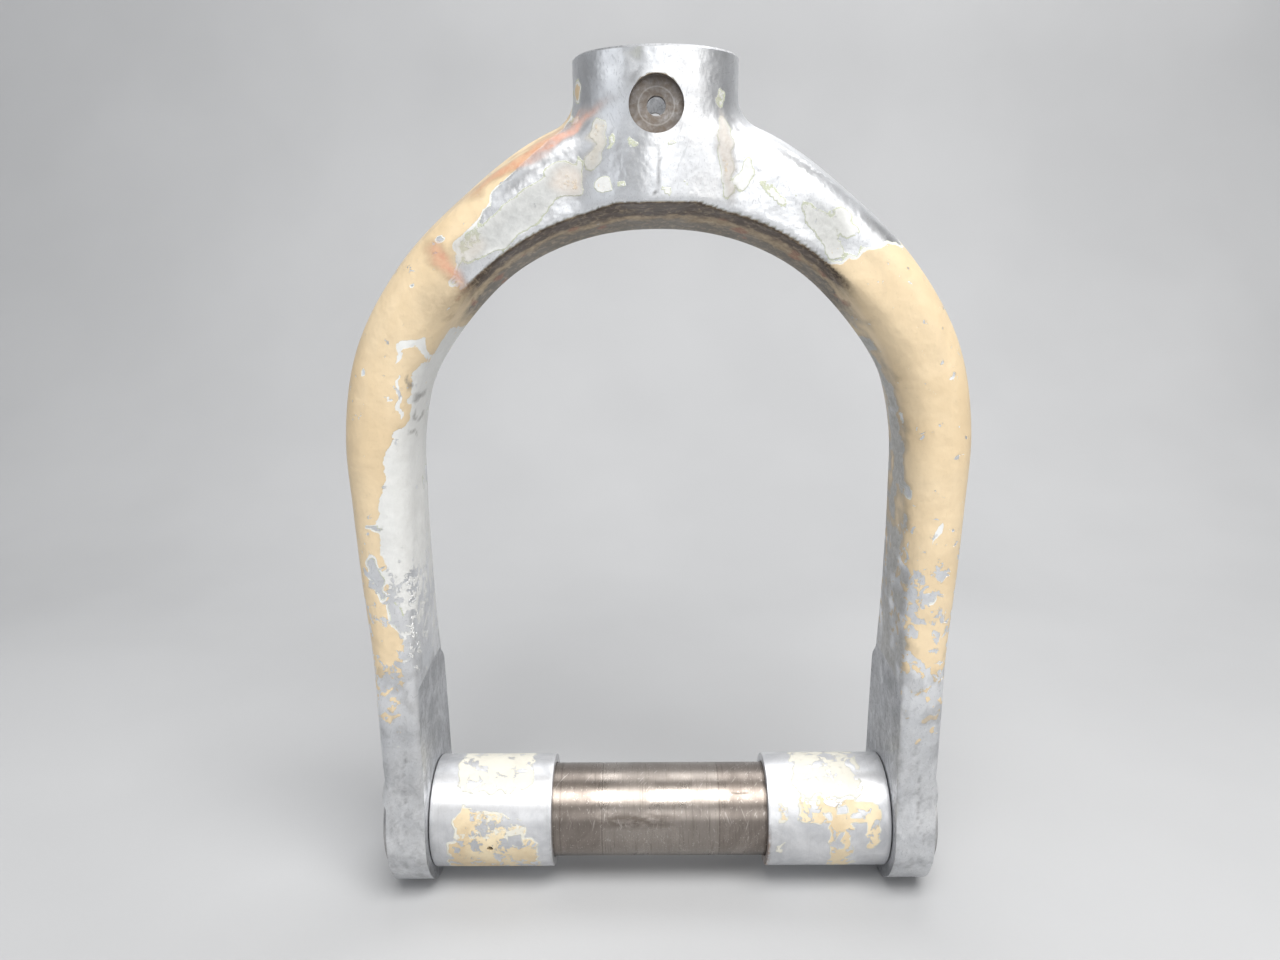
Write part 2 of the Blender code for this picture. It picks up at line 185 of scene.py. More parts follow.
for name, values in LIGHTS.items():
    add_light(name, *values)
world = bpy.data.worlds.new("studio")
bpy.context.scene.world = world
world.use_nodes = True
room = world.node_tree.nodes["Background"]
room.inputs["Color"].default_value = WORLD_COLOUR
room.inputs["Strength"].default_value = WORLD_STRENGTH
backdrop = world.node_tree.nodes.new("ShaderNodeBackground")
backdrop.inputs["Color"].default_value = BACKDROP_COLOUR
either = world.node_tree.nodes.new("ShaderNodeMixShader")
seen = world.node_tree.nodes.new("ShaderNodeLightPath").outputs["Is Camera Ray"]
world.node_tree.links.new(seen, either.inputs[0])
world.node_tree.links.new(room.outputs[0], either.inputs[1])
world.node_tree.links.new(backdrop.outputs[0], either.inputs[2])
world.node_tree.links.new(either.outputs[0], world.node_tree.nodes["World Output"].inputs["Surface"])
bpy.context.scene.view_settings.view_transform = "Standard"
print("lights", list(LIGHTS))

# %% [markdown]
# ## The fork's shape
#
# The real fork is forged in two dies that meet on its middle plane. So each arm is thickest
# there and falls away to the front and the back, and a faint ridge follows the inside and the
# outside of the arch. A foundryman would call that the draft. The collar runs into the
# shoulders through soft fillets, but the front lower edge is crisp.
#
# A loft with subdivision gives the arms but not the fillets. A remesh of overlapping solids
# rounds every edge alike. Here the shape is a distance field instead: a function that says
# how far any point is from the metal. Two fields are joined or cut with a chosen rounding, so
# each corner gets its own radius. A net is then drawn over the field's zero surface.

# %% Rows of one arm
# Out from the centre plane, height over the axle, half the thickness across the arm, half the
# depth front to back, draft outside and inside, corner radius outside and inside.
ARM_ROWS = np.array([
    (0.0000, 0.2645, 0.0218, 0.0225, 0.30, 0.37, 0.0070, 0.0012),
    (0.0326, 0.2577, 0.0194, 0.0222, 0.30, 0.42, 0.0070, 0.0012),
    (0.0598, 0.2421, 0.0164, 0.0220, 0.30, 0.42, 0.0080, 0.0016),
    (0.0831, 0.2200, 0.0161, 0.0216, 0.28, 0.34, 0.0090, 0.0060),
    (0.0981, 0.1959, 0.0151, 0.0212, 0.24, 0.26, 0.0100, 0.0090),
    (0.1048, 0.1682, 0.0139, 0.0210, 0.20, 0.20, 0.0100, 0.0090),
    (0.1054, 0.1400, 0.0127, 0.0211, 0.18, 0.18, 0.0095, 0.0085),
    (0.1050, 0.1100, 0.0116, 0.0214, 0.16, 0.16, 0.0085, 0.0075),
    (0.1039, 0.0800, 0.0102, 0.0224, 0.14, 0.14, 0.0070, 0.0060),
    (0.1035, 0.0580, 0.0098, 0.0240, 0.12, 0.12, 0.0060, 0.0045),
    (0.1031, 0.0300, 0.0093, 0.0248, 0.10, 0.10, 0.0045, 0.0025),
    (0.1026, -0.0040, 0.0088, 0.0246, 0.08, 0.08, 0.0035, 0.0020),
])
ARM_SAMPLES = 700


def smooth_rows(rows, count):
    """The rows read at even steps along a smooth curve through them, and each step's place."""
    spans = np.hypot(*np.diff(rows[:, :2], axis=0).T)
    along = np.concatenate([[0], np.cumsum(spans)])
    slopes = np.gradient(rows, along, axis=0)
    slopes[0, 1:] = 0
    places = np.linspace(0, along[-1], count)
    i = np.clip(np.searchsorted(along, places, side="right") - 1, 0, len(rows) - 2)
    width = (along[i + 1] - along[i])[:, None]
    t = (places - along[i])[:, None] / width
    start = (1 + 2 * t) * (1 - t) ** 2 * rows[i] + t * (1 - t) ** 2 * width * slopes[i]
    end = t * t * (3 - 2 * t) * rows[i + 1] + t * t * (t - 1) * width * slopes[i + 1]
    return start + end, places


arm_rows, arm_places = smooth_rows(ARM_ROWS, ARM_SAMPLES)
arm_rows[:, 1] += AXLE_Z
arm_tangents = np.gradient(arm_rows[:, :2], axis=0)
arm_tangents /= np.linalg.norm(arm_tangents, axis=1)[:, None]
arm_normals = np.stack([-arm_tangents[:, 1], arm_tangents[:, 0]], axis=1)
print("arm length", round(float(arm_places[-1]), 4))


# %% Where a point lies along the arm
def along_arm(x, z):
    """For points of the right half: place along the arm, distance outward from its middle
    line, and the arm's values there."""
    points = np.stack([x, z], axis=1)
    nearest = np.empty(len(points), int)
    for start in range(0, len(points), 4096):
        part = points[start:start + 4096]
        gap = ((part[:, None] - arm_rows[None, :, :2]) ** 2).sum(2)
        nearest[start:start + 4096] = gap.argmin(1)
    offset = points - arm_rows[nearest, :2]
    place = arm_places[nearest] + (offset * arm_tangents[nearest]).sum(1)
    place = np.clip(place, 0, arm_places[-1])
    values = np.stack([np.interp(place, arm_places, c) for c in arm_rows.T], axis=1)
    normal = np.stack([np.interp(place, arm_places, c) for c in arm_normals.T], axis=1)
    outward = ((points - values[:, :2]) * normal).sum(1)
    return place, outward, values[:, 2:]


# %% Joining and cutting distance fields
def meet(a, b, radius):
    """Where two fields overlap, with the corner between them rounded."""
    corner = np.hypot(np.maximum(a + radius, 0), np.maximum(b + radius, 0))
    return np.minimum(np.maximum(a, b), -radius) + corner


def join(a, b, radius):
    """Two fields as one, with a fillet between them."""
    return -meet(-a, -b, radius)


def slab(value, low, high):
    return np.maximum(low - value, value - high)


# %% The fork as a field
COLLAR_RADIUS = 0.02915
COLLAR_UNDER_TIP = -0.0562
COLLAR_UNDER_RISE = math.atan2(0.0072, COLLAR_RADIUS)
COLLAR_FILLET = 0.0065
LOWER_EDGE = 0.0010
RIDGE_SOFTNESS = 0.0012
RIM_SPARE = 0.003  # metal left over the rim for the facing cut
LUG_RADIUS = 0.0279
LUG_OUTER_X = 0.1110
PAD_X = 0.0952
PAD_SPARE = 0.0010
PAD_BACKING = 0.0110
PAD_REAR_Y = 0.0252
PAD_TOP = 0.0615
LUG_FILLET = 0.0060
BLOCK_CORNER = 0.0030


def arm_field(y, outward, values):
    """Distance from one arm, and from its inner side alone."""
    half, depth, draft_out, draft_in, round_out, round_in = values
    fall = np.sqrt(y * y + RIDGE_SOFTNESS**2) - RIDGE_SOFTNESS
    face = np.abs(y) - depth
    outer = (outward - half) * depth + fall * half * draft_out
    outer /= np.hypot(depth, half * draft_out)
    inner = (-outward - half) * depth + fall * half * draft_in
    inner /= np.hypot(depth, half * draft_in)
    field = np.maximum(meet(outer, face, round_out), meet(inner, face, round_in))
    return field, inner


def fork_field(x, y, z):
    """Distance from the fork's metal before machining, on a grid of its right half."""
    flat_x, flat_z = np.meshgrid(x, z, indexing="ij")
    _, outward, values = along_arm(flat_x.ravel(), flat_z.ravel())
    shape = flat_x.shape
    outward = outward.reshape(shape)[:, None, :]
    values = [v.reshape(shape)[:, None, :] for v in values.T]
    x, y, z = x[:, None, None], y[None, :, None], z[None, None, :]
    arm, arm_inner = arm_field(y, outward, values)
    arm = np.maximum(arm, AXLE_Z + ARM_ROWS[-1, 1] - z)

    radius = np.hypot(x, y)
    rise = COLLAR_UNDER_RISE
    under = radius * math.sin(rise) - (z - COLLAR_UNDER_TIP) * math.cos(rise)
    collar = meet(radius - COLLAR_RADIUS, under, LOWER_EDGE)
    collar = np.maximum(collar, z - RIM_Z - RIM_SPARE)
    body = np.maximum(join(arm, collar, COLLAR_FILLET), np.minimum(arm_inner, under))

    lug = np.hypot(y, z - AXLE_Z) - LUG_RADIUS
    lug = np.maximum(lug, slab(x, PAD_X - PAD_SPARE, LUG_OUTER_X + PAD_SPARE))
    block = meet(slab(y, 0, PAD_REAR_Y), slab(z - AXLE_Z, 0, PAD_TOP), BLOCK_CORNER)
    block = np.maximum(block, slab(x, PAD_X - PAD_SPARE, PAD_X + PAD_BACKING))
    return join(body, np.minimum(lug, block), LUG_FILLET)


# %% Sample the field
NET_STEP = 0.0012
NET_MARGIN = 0.004
half_x = np.arange(0, fork_high.x + NET_MARGIN + 0.003, NET_STEP)
net_y = np.arange(-(COLLAR_RADIUS + NET_MARGIN), COLLAR_RADIUS + NET_MARGIN, NET_STEP)
net_z = np.arange(FLOOR_Z - NET_MARGIN, RIM_Z + 2 * NET_MARGIN, NET_STEP)
half_field = fork_field(half_x, net_y, net_z)
field = np.concatenate([half_field[:0:-1], half_field]).astype(np.float32)
net_low = np.array([-half_x[-1], net_y[0], net_z[0]])
print("field", field.shape, "inside", int((field < 0).sum()))


# %% [markdown]
# ## A net over the field
#
# The field only tells how far the metal is, so its surface still has to be found. Cubes of the
# grid that the surface passes through get one point each, and neighbours are joined in fours.
# The points are then slid along the slope of the field until they lie on the surface itself,
# which takes out the stair steps that the grid alone would leave.

# %% Draw the net
def surface_net(field, low, step):
    """Points and four-sided faces over the zero surface of a field on a grid."""
    inside = field < 0
    size = np.array(field.shape) - 1
    corners = [np.array([i, j, k]) for i in (0, 1) for j in (0, 1) for k in (0, 1)]
    count = np.zeros(size, np.int8)
    for i, j, k in corners:
        count += inside[i:size[0] + i, j:size[1] + j, k:size[2] + k]
    cells = np.argwhere((count > 0) & (count < 8))
    number = np.full(size, -1, np.int64)
    number[tuple(cells.T)] = np.arange(len(cells))
    total = np.zeros((len(cells), 3))
    hits = np.zeros(len(cells))
    for a in corners:
        for b in corners:
            if (b - a).sum() != 1 or (b - a).min() < 0:
                continue
            value_a = field[tuple((cells + a).T)]
            value_b = field[tuple((cells + b).T)]
            crossed = (value_a < 0) != (value_b < 0)
            share = value_a / np.where(crossed, value_a - value_b, 1)
            total += np.where(crossed[:, None], a + share[:, None] * (b - a), 0)
            hits += crossed
    points = low + step * (cells + total / hits[:, None])
    faces = []
    for axis in range(3):
        one, two = [d for d in range(3) if d != axis]
        ahead = np.eye(3, dtype=int)[axis]
        back_one, back_two = np.eye(3, dtype=int)[one], np.eye(3, dtype=int)[two]
        inner = inside[tuple(slice(1, -1) for _ in range(3))]
        after = inside[tuple(slice(1 + a, n - 1 + a) for a, n in zip(ahead, inside.shape))]
        place = np.argwhere(inner != after) + 1
        place = place[(place + ahead < size).all(1)]
        ring = [place - back_one - back_two, place - back_two, place, place - back_one]
        quads = np.stack([number[tuple(p.T)] for p in ring], axis=1)
        flip = inside[tuple(place.T)] == (axis == 1)
        quads[flip] = quads[flip][:, ::-1]
        faces.append(quads)
    return points, np.concatenate(faces)


def read_field(field, low, step, points):
    """The field and its slope at points between the grid's own, by blending eight corners."""
    place = (points - low) / step
    cell = np.floor(place).astype(int)
    part = place - cell
    value = np.zeros(len(points))
    slope = np.zeros((len(points), 3))
    for i in (0, 1):
        for j in (0, 1):
            for k in (0, 1):
                corner = field[cell[:, 0] + i, cell[:, 1] + j, cell[:, 2] + k]
                w = np.where([i, j, k], part, 1 - part)
                d = np.where([i, j, k], 1.0, -1.0)
                value += corner * w.prod(1)
                slope[:, 0] += corner * d[0] * w[:, 1] * w[:, 2]
                slope[:, 1] += corner * w[:, 0] * d[1] * w[:, 2]
                slope[:, 2] += corner * w[:, 0] * w[:, 1] * d[2]
    return value, slope / step


def settle(points, rounds):
    """Slides points along the field's slope until they lie on its zero surface."""
    for _ in range(rounds):
        value, slope = read_field(field, net_low, NET_STEP, points)
        points = points - (value / np.maximum((slope**2).sum(1), 0.1))[:, None] * slope
    return points


net_points, net_faces = surface_net(field, net_low, NET_STEP)
net_points = settle(net_points, 2)
print("net", len(net_points), "points", len(net_faces), "faces")
fork_mesh = mesh_from("fork_body", net_points, net_faces)
fork = add_object("fork_body", fork_mesh)

# %% [markdown]
# ## Turned pieces
#
# Most other pieces, and most cutting tools, are round. A lathe makes them by turning one
# outline about an axis, and so does this helper. Its outline is a list of radius and height.
# Real edges are never perfectly sharp, and a small round on each corner is what catches the
# light, so the outline's corners are rounded before it is turned.

# %% Lathe
CORNER_STEPS = 4
ON_AXIS = 1e-9


def round_corners(outline, radius, closed=True):
    """The outline with each corner replaced by a short arc."""
    points = [np.array(p, float) for p in outline]
    made = []
    for i, point in enumerate(points):
        ends = not closed and i in (0, len(points) - 1)
        before, after = points[i - 1] - point, points[(i + 1) % len(points)] - point
        reach = min(radius, 0.45 * np.linalg.norm(before), 0.45 * np.linalg.norm(after))
        if ends or reach < ON_AXIS:
            made.append(point)
            continue
        start = point + before / np.linalg.norm(before) * reach
        end = point + after / np.linalg.norm(after) * reach
        for t in np.linspace(0, 1, CORNER_STEPS):
            made.append((1 - t) ** 2 * start + 2 * t * (1 - t) * point + t * t * end)
    return [tuple(p) for p in made]


def turned(name, outline, sides, place, closed=True):
    """A solid turned about local Z and then moved by the matrix place."""
    shape = bmesh.new()
    rings = []
    for radius, height in outline:
        if radius < ON_AXIS:
            rings.append([shape.verts.new((0, 0, height))] * sides)
            continue
        ring = []
        for turn in np.linspace(0, 2 * math.pi, sides, endpoint=False):
            ring.append(shape.verts.new((radius * math.cos(turn), radius * math.sin(turn), height)))
        rings.append(ring)
    pairs = list(zip(rings, rings[1:]))
    if closed:
        pairs.append((rings[-1], rings[0]))
    for upper, lower in pairs:
        for i in range(sides):
            j = (i + 1) % sides
            corners = list(dict.fromkeys([upper[i], upper[j], lower[j], lower[i]]))
            if len(corners) > 2:
                shape.faces.new(corners)
    bmesh.ops.recalc_face_normals(shape, faces=shape.faces)
    bmesh.ops.transform(shape, matrix=place, verts=shape.verts)
    return from_shape(name, shape)


def rod(radius, low, high):
    """The outline of a plain cylinder, for drills and cutters."""
    return [(0, high), (radius, high), (radius, low), (0, low)]


def on_axle(side):
    """Local Z turned to point out along the axle, to the left (-1) or the right (1)."""
    return Matrix.Translation((0, 0, AXLE_Z)) @ Matrix.Rotation(side * math.pi / 2, 4, "Y")


def across_collar(side, height):
    """Local Z turned to point to the front (-1) or the back (1) at a height."""
    return Matrix.Translation((0, 0, height)) @ Matrix.Rotation(-side * math.pi / 2, 4, "X")


def cut(target, tool, operation="DIFFERENCE"):
    """Cuts one solid with another for good, and takes the tool away."""
    step = target.modifiers.new(tool.name, "BOOLEAN")
    step.solver = "MANIFOLD"
    step.operation = operation
    step.object = tool
    step.material_mode = "TRANSFER"
    graph = bpy.context.evaluated_depsgraph_get()
    mesh = bpy.data.meshes.new_from_object(target.evaluated_get(graph))
    target.modifiers.clear()
    target.data = mesh
    bpy.data.objects.remove(tool)


# %% [markdown]
# ## Machining the fork
#
# After forging, the collar's rim, its socket, the cross hole with its two spot faces, the pads
# and the feet are cut on machines. Those edges are crisp where the forging's are soft. So they
# are cut here too, as solids taken from the net, and not in the field, which would round them.
# The tools carry a second material, so every cut face gets it and shows bare machined metal.

# %% Sizes of the cuts
SOCKET_RADIUS = 0.01905
SOCKET_DEPTH = 0.0400
SOCKET_LEAD = 0.0007
RIM_EDGE = 0.0008
CROSS_HOLE_Z = RIM_Z - 0.0180
CROSS_HOLE_RADIUS = 0.0032
SPOT_RADIUS = 0.0091
SPOT_SEAT = COLLAR_RADIUS - 0.0060
PAD_RAMP_LOW = 0.0675
PAD_RAMP_HIGH = 0.0745
PAD_RAMP_IN = 0.0030
LUG_BORE = 0.0159
FACING_RIM = 0.0020
TOOL_REACH = 0.0120
CUT_SIDES = 144
HOLE_SIDES = 72

# %% Materials of the fork's skin and cuts
fork_skin = bpy.data.materials.new("sanded_and_painted_alloy")
fork_cut = bpy.data.materials.new("machined_alloy")
fork.data.materials.append(fork_skin)


# %% Tools
def pad_tool():
    """The block that clears the space between the pads, with ramps at its upper corners."""
    deep = AXLE_Z - 2 * TOOL_REACH - LUG_RADIUS
    side = [(PAD_X, deep), (PAD_X, AXLE_Z + PAD_RAMP_LOW), (PAD_X - PAD_RAMP_IN, AXLE_Z + PAD_RAMP_HIGH)]
    line = side + [(-x, z) for x, z in reversed(side)]
    reach = COLLAR_RADIUS + TOOL_REACH
    shape = bmesh.new()
    front = [shape.verts.new((x, -reach, z)) for x, z in line]
    face = shape.faces.new(front)
    grown = bmesh.ops.extrude_face_region(shape, geom=[face])
    moved = [v for v in grown["geom"] if isinstance(v, bmesh.types.BMVert)]
    bmesh.ops.translate(shape, vec=(0, 2 * reach, 0), verts=moved)
    bmesh.ops.recalc_face_normals(shape, faces=shape.faces)
    return from_shape("pad_tool", shape)


def machine(tool):
    tool.data.materials.clear()
    tool.data.materials.append(fork_cut)
    cut(fork, tool)


rim = RIM_EDGE
facer = [
    (0, 0),
    (COLLAR_RADIUS - rim, 0),
    (COLLAR_RADIUS + rim, -2 * rim),
    (COLLAR_RADIUS + TOOL_REACH, -2 * rim),
    (COLLAR_RADIUS + TOOL_REACH, TOOL_REACH),
    (0, TOOL_REACH),
]
lead = SOCKET_LEAD
socket = [
    (0, -SOCKET_DEPTH),
    (SOCKET_RADIUS, -SOCKET_DEPTH),
    (SOCKET_RADIUS, -lead),
    (SOCKET_RADIUS + 2 * lead, lead),
    (SOCKET_RADIUS + 2 * lead, TOOL_REACH),
    (0, TOOL_REACH),
]
rim_place = Matrix.Translation((0, 0, RIM_Z))
machine(turned("rim_facer", facer, CUT_SIDES, rim_place, closed=False))
machine(turned("socket_borer", socket, CUT_SIDES, rim_place, closed=False))
long_reach = COLLAR_RADIUS + TOOL_REACH
drill = rod(CROSS_HOLE_RADIUS, -long_reach, long_reach)
machine(turned("cross_drill", drill, HOLE_SIDES, across_collar(1, CROSS_HOLE_Z), closed=False))
spot = rod(SPOT_RADIUS, SPOT_SEAT, long_reach)
for side in (-1, 1):
    machine(turned("spot_facer", spot, CUT_SIDES, across_collar(side, CROSS_HOLE_Z), closed=False))
machine(pad_tool())
far_x = LUG_OUTER_X + TOOL_REACH
facing = rod(LUG_RADIUS + FACING_RIM, LUG_OUTER_X, far_x)
for side in (-1, 1):
    machine(turned("foot_facer", facing, CUT_SIDES, on_axle(side), closed=False))
bore = rod(LUG_BORE, -far_x, far_x)
machine(turned("foot_borer", bore, CUT_SIDES, on_axle(1), closed=False))
print("machined fork", len(fork.data.polygons), "faces")

# %% Shade the fork smooth between its sharp cuts
CREASE = math.radians(32)
fork.data.shade_smooth()
fork.data.set_sharp_from_angle(angle=CREASE)
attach(fork, "fork")
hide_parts("fork_yoke")

# %% [markdown]
# ## Where the paint is worn
#
# The real fork is painted tan over white over what looks like a green primer, and its crown
# has been sanded to bare metal, most likely for an inspection. So its looks are a map of how
# far the sanding went: 0 is full paint, 0.5 is down to the white, 1 is bare metal. Wherever
# that value changes slowly, the layers show as rings, just as they do under a sanding block.
#
# Such a map could be painted by hand as a picture, but a picture needs a flat unwrapping and a
# file. Here each point of the mesh gets its values from its place on the fork, in code. Three
# values are stored: wear, chips for flaking, and tint for stains, odd patches of colour and
# painted shade, which darkens the underside of the arch and the right arm's inner facet.

# %% Helpers for maps over a surface
BARE, WHITE, TAN = 1.0, 0.5, 0.1


def surface(mesh):
    """A mesh's points and their outward directions."""
    points = np.empty(len(mesh.vertices) * 3)
    normals = np.empty(len(mesh.vertices) * 3)
    mesh.vertices.foreach_get("co", points)
    mesh.vertex_normals.foreach_get("vector", normals)
    return points.reshape(-1, 3), normals.reshape(-1, 3)


def ramp(value, start, end):
    """0 at start, 1 at end, and a soft curve between."""
    part = np.clip((value - start) / (end - start), 0, 1)
    return part * part * (3 - 2 * part)


def wobble(points, size, seed):
    """Smooth unevenness between about -1 and 1, with bumps of a size."""
    pick = np.random.default_rng(seed)
    total = np.zeros(len(points))
    for _ in range(14):
        direction = pick.normal(size=3)
        direction *= 2 * math.pi / (size * pick.uniform(0.7, 1.8) * np.linalg.norm(direction))
        total += np.sin(points @ direction + pick.uniform(0, 2 * math.pi))
    return total / 4


def patch(x, z, place, size, tilt, soft):
    """1 inside a tilted oval, 0 outside it, and a soft rim between."""
    turn = math.radians(tilt)
    dx, dz = x - place[0], z - place[1]
    along = (dx * math.cos(turn) + dz * math.sin(turn)) / size[0]
    across = (dz * math.cos(turn) - dx * math.sin(turn)) / size[1]
    return 1 - ramp(np.hypot(along, across), 1 - soft, 1 + soft)


def store(mesh, name, values):
    """Keeps one value, or one colour with its strength, for each point of a mesh."""
    kind = "FLOAT" if values.ndim == 1 else "FLOAT_COLOR"
    layer = mesh.attributes.new(name, kind, "POINT")
    layer.data.foreach_set("value" if values.ndim == 1 else "color", values.ravel().astype(np.float32))


def mix_tint(tint, colour, strength):
    """Lays one more colour over the stored ones."""
    keep = 1 - strength[:, None]
    tint[:, :3] = tint[:, :3] * keep + np.array(colour) * strength[:, None]
    tint[:, 3] = 1 - (1 - tint[:, 3]) * (1 - strength)


# %% Worn places of the fork
# Place out from the centre and over the axle, half sizes, tilt, softness of the rim, wear.
WORN_PLACES = [
    ((-0.0475, 0.2475), (0.0270, 0.0062), 36, 0.35, 0.50),
    ((-0.0335, 0.2620), (0.0050, 0.0042), 10, 0.5, 0.46),
    ((-0.0290, 0.2575), (0.0045, 0.0050), 60, 0.5, 0.43),
    ((-0.0560, 0.2390), (0.0100, 0.0040), 38, 0.5, 0.47),
    ((-0.0640, 0.2400), (0.0070, 0.0030), 50, 0.6, 0.62),
    ((-0.0195, 0.2745), (0.0050, 0.0022), 78, 0.5, 0.42),
    ((-0.0208, 0.2665), (0.0055, 0.0020), 70, 0.5, 0.42),
    ((-0.0255, 0.2644), (0.0032, 0.0013), 84, 0.6, 0.56),
    ((-0.0154, 0.2706), (0.0036, 0.0020), 80, 0.6, 0.61),
    ((-0.0173, 0.2573), (0.0027, 0.0022), 0, 0.5, 0.42),
    ((-0.0116, 0.2575), (0.0024, 0.0017), 0, 0.6, 0.61),
    ((0.0050, 0.2709), (0.0020, 0.0016), 0, 0.6, 0.52),
    ((-0.0081, 0.2703), (0.0022, 0.0032), 0, 0.7, 0.63),
    ((0.0030, 0.2544), (0.0026, 0.0014), -30, 0.6, 0.50),
    ((0.0084, 0.2569), (0.0030, 0.0012), -20, 0.7, 0.62),
    ((0.0213, 0.2847), (0.0030, 0.0026), 0, 0.6, 0.60),
    ((0.0225, 0.2740), (0.0060, 0.0026), -72, 0.5, 0.45),
    ((0.0235, 0.2620), (0.0110, 0.0026), -82, 0.5, 0.42),
    ((0.0300, 0.2600), (0.0050, 0.0026), 62, 0.5, 0.46),
    ((0.0375, 0.2555), (0.0060, 0.0022), -20, 0.6, 0.62),
    ((0.0413, 0.2517), (0.0040, 0.0022), -34, 0.5, 0.52),
    ((0.0477, 0.2530), (0.0012, 0.0012), 0, 0.6, 0.58),
    ((0.0540, 0.2470), (0.0060, 0.0030), -48, 0.5, 0.60),
    ((0.0570, 0.2420), (0.0075, 0.0036), -55, 0.5, 0.46),
    ((0.0610, 0.2360), (0.0050, 0.0030), -60, 0.5, 0.44),
    ((0.0640, 0.2440), (0.0070, 0.0036), -48, 0.5, 0.48),
    ((-0.0760, 0.2390), (0.0022, 0.0020), 0, 0.5, 0.95),
    ((-0.0870, 0.2240), (0.0010, 0.0008), 0, 0.5, 0.9),
    ((-0.1072, 0.1938), (0.0012, 0.0012), 0, 0.4, 0.9),
    ((-0.1076, 0.1349), (0.0013, 0.0014), 0, 0.4, 0.9),
    ((-0.0943, 0.1850), (0.0095, 0.0009), 82, 0.4, 0.52),
    ((-0.0975, 0.1850), (0.0012, 0.0009), 0, 0.4, 0.52),
    ((-0.0880, 0.2045), (0.0060, 0.0019), 25, 0.4, 0.50),
    ((-0.0915, 0.2010), (0.0045, 0.0011), 70, 0.4, 0.50),
    ((-0.0840, 0.2020), (0.0055, 0.0018), 100, 0.4, 0.50),
    ((0.1049, 0.1316), (0.0048, 0.0009), 72, 0.4, 0.50),
    ((0.0939, 0.1472), (0.0042, 0.0007), 105, 0.4, 0.85),
    ((0.0899, 0.1747), (0.0016, 0.0005), 90, 0.4, 0.8),
    ((0.1038, 0.1048), (0.0028, 0.0024), 0, 0.5, 0.95),
    ((-0.1077, 0.1150), (0.0024, 0.0090), 8, 0.5, 0.9),
    ((-0.1020, 0.1010), (0.0030, 0.0050), 0, 0.6, 0.85),
    ((-0.1050, 0.0880), (0.0046, 0.0075), 0, 0.3, 0.15),
    ((-0.1040, 0.0655), (0.0016, 0.0022), 20, 0.3, 0.15),
    ((-0.1075, 0.0690), (0.0008, 0.0030), -30, 0.3, 0.15),
    ((-0.1065, 0.0560), (0.0014, 0.0009), 40, 0.3, 0.15),
    ((0.1062, 0.0640), (0.0009, 0.0024), 15, 0.3, 0.15),
    ((0.1035, 0.0560), (0.0008, 0.0018), -35, 0.3, 0.15),
    ((0.1070, 0.0510), (0.0007, 0.0013), 10, 0.3, 0.15),
    ((0.1020, 0.0460), (0.0016, 0.0006), 50, 0.3, 0.15),
    ((0.1010, 0.0860), (0.0030, 0.0050), 0, 0.4, 0.15),
]
# Place, half sizes, tilt, softness, colour, strength.
TINTED_PLACES = [
    ((-0.0430, 0.2680), (0.0260, 0.0024), 31, 0.6, (0.78, 0.38, 0.24), 0.70),
    ((-0.0475, 0.2475), (0.0240, 0.0050), 36, 0.5, (0.60, 0.62, 0.62), 0.50),
    ((0.0580, 0.2430), (0.0100, 0.0060), -52, 0.6, (0.60, 0.61, 0.57), 0.45),
    ((-0.0300, 0.2590), (0.0055, 0.0060), 60, 0.6, (0.74, 0.65, 0.57), 0.70),
    ((-0.0205, 0.2700), (0.0085, 0.0022), 78, 0.5, (0.72, 0.68, 0.60), 0.75),
    ((0.0232, 0.2680), (0.0160, 0.0025), -80, 0.5, (0.66, 0.61, 0.56), 0.80),
    ((-0.0650, 0.2360), (0.0060, 0.0040), 40, 0.6, (0.70, 0.62, 0.52), 0.50),
    ((-0.0300, 0.2745), (0.0130, 0.0016), 36, 0.7, (0.80, 0.46, 0.36), 0.6),
    ((-0.0745, 0.2320), (0.0075, 0.0030), -50, 0.7, (0.80, 0.42, 0.28), 0.75),
    ((-0.0700, 0.2260), (0.0040, 0.0022), -60, 0.8, (0.70, 0.38, 0.26), 0.6),
    ((-0.0760, 0.2180), (0.0090, 0.0050), 40, 0.9, (0.42, 0.30, 0.19), 0.35),
    ((-0.0895, 0.1893), (0.0016, 0.0007), 88, 0.3, (0.26, 0.25, 0.24), 0.7),
    ((-0.0893, 0.1828), (0.0024, 0.0007), 70, 0.3, (0.30, 0.29, 0.28), 0.6),
    ((-0.0905, 0.1760), (0.0020, 0.0005), 80, 0.3, (0.30, 0.28, 0.26), 0.6),
    ((-0.0925, 0.1689), (0.0018, 0.0005), 95, 0.3, (0.30, 0.28, 0.26), 0.6),
    ((-0.0915, 0.1560), (0.0030, 0.0004), 75, 0.3, (0.36, 0.34, 0.32), 0.5),
    ((0.0009, 0.2615), (0.0070, 0.0005), 90, 0.7, (0.20, 0.20, 0.22), 0.55),
    ((-0.1025, 0.0250), (0.0250, 0.0004), 87, 0.5, (0.14, 0.13, 0.13), 0.65),
    ((0.1040, 0.0220), (0.0230, 0.0004), 93, 0.5, (0.14, 0.13, 0.13), 0.60),
    ((-0.1055, 0.0120), (0.0060, 0.0005), 60, 0.6, (0.20, 0.20, 0.20), 0.50),
    ((0.1010, 0.0380), (0.0080, 0.0004), 78, 0.6, (0.20, 0.20, 0.20), 0.50),
    ((-0.0004, 0.2530), (0.0006, 0.0006), 0, 0.5, (0.05, 0.05, 0.05), 0.8),
    ((-0.0069, 0.2978), (0.0030, 0.0018), 80, 0.8, (0.55, 0.56, 0.36), 0.45),
    ((-0.0060, 0.2900), (0.0030, 0.0012), 60, 0.8, (0.16, 0.16, 0.17), 0.5),
]
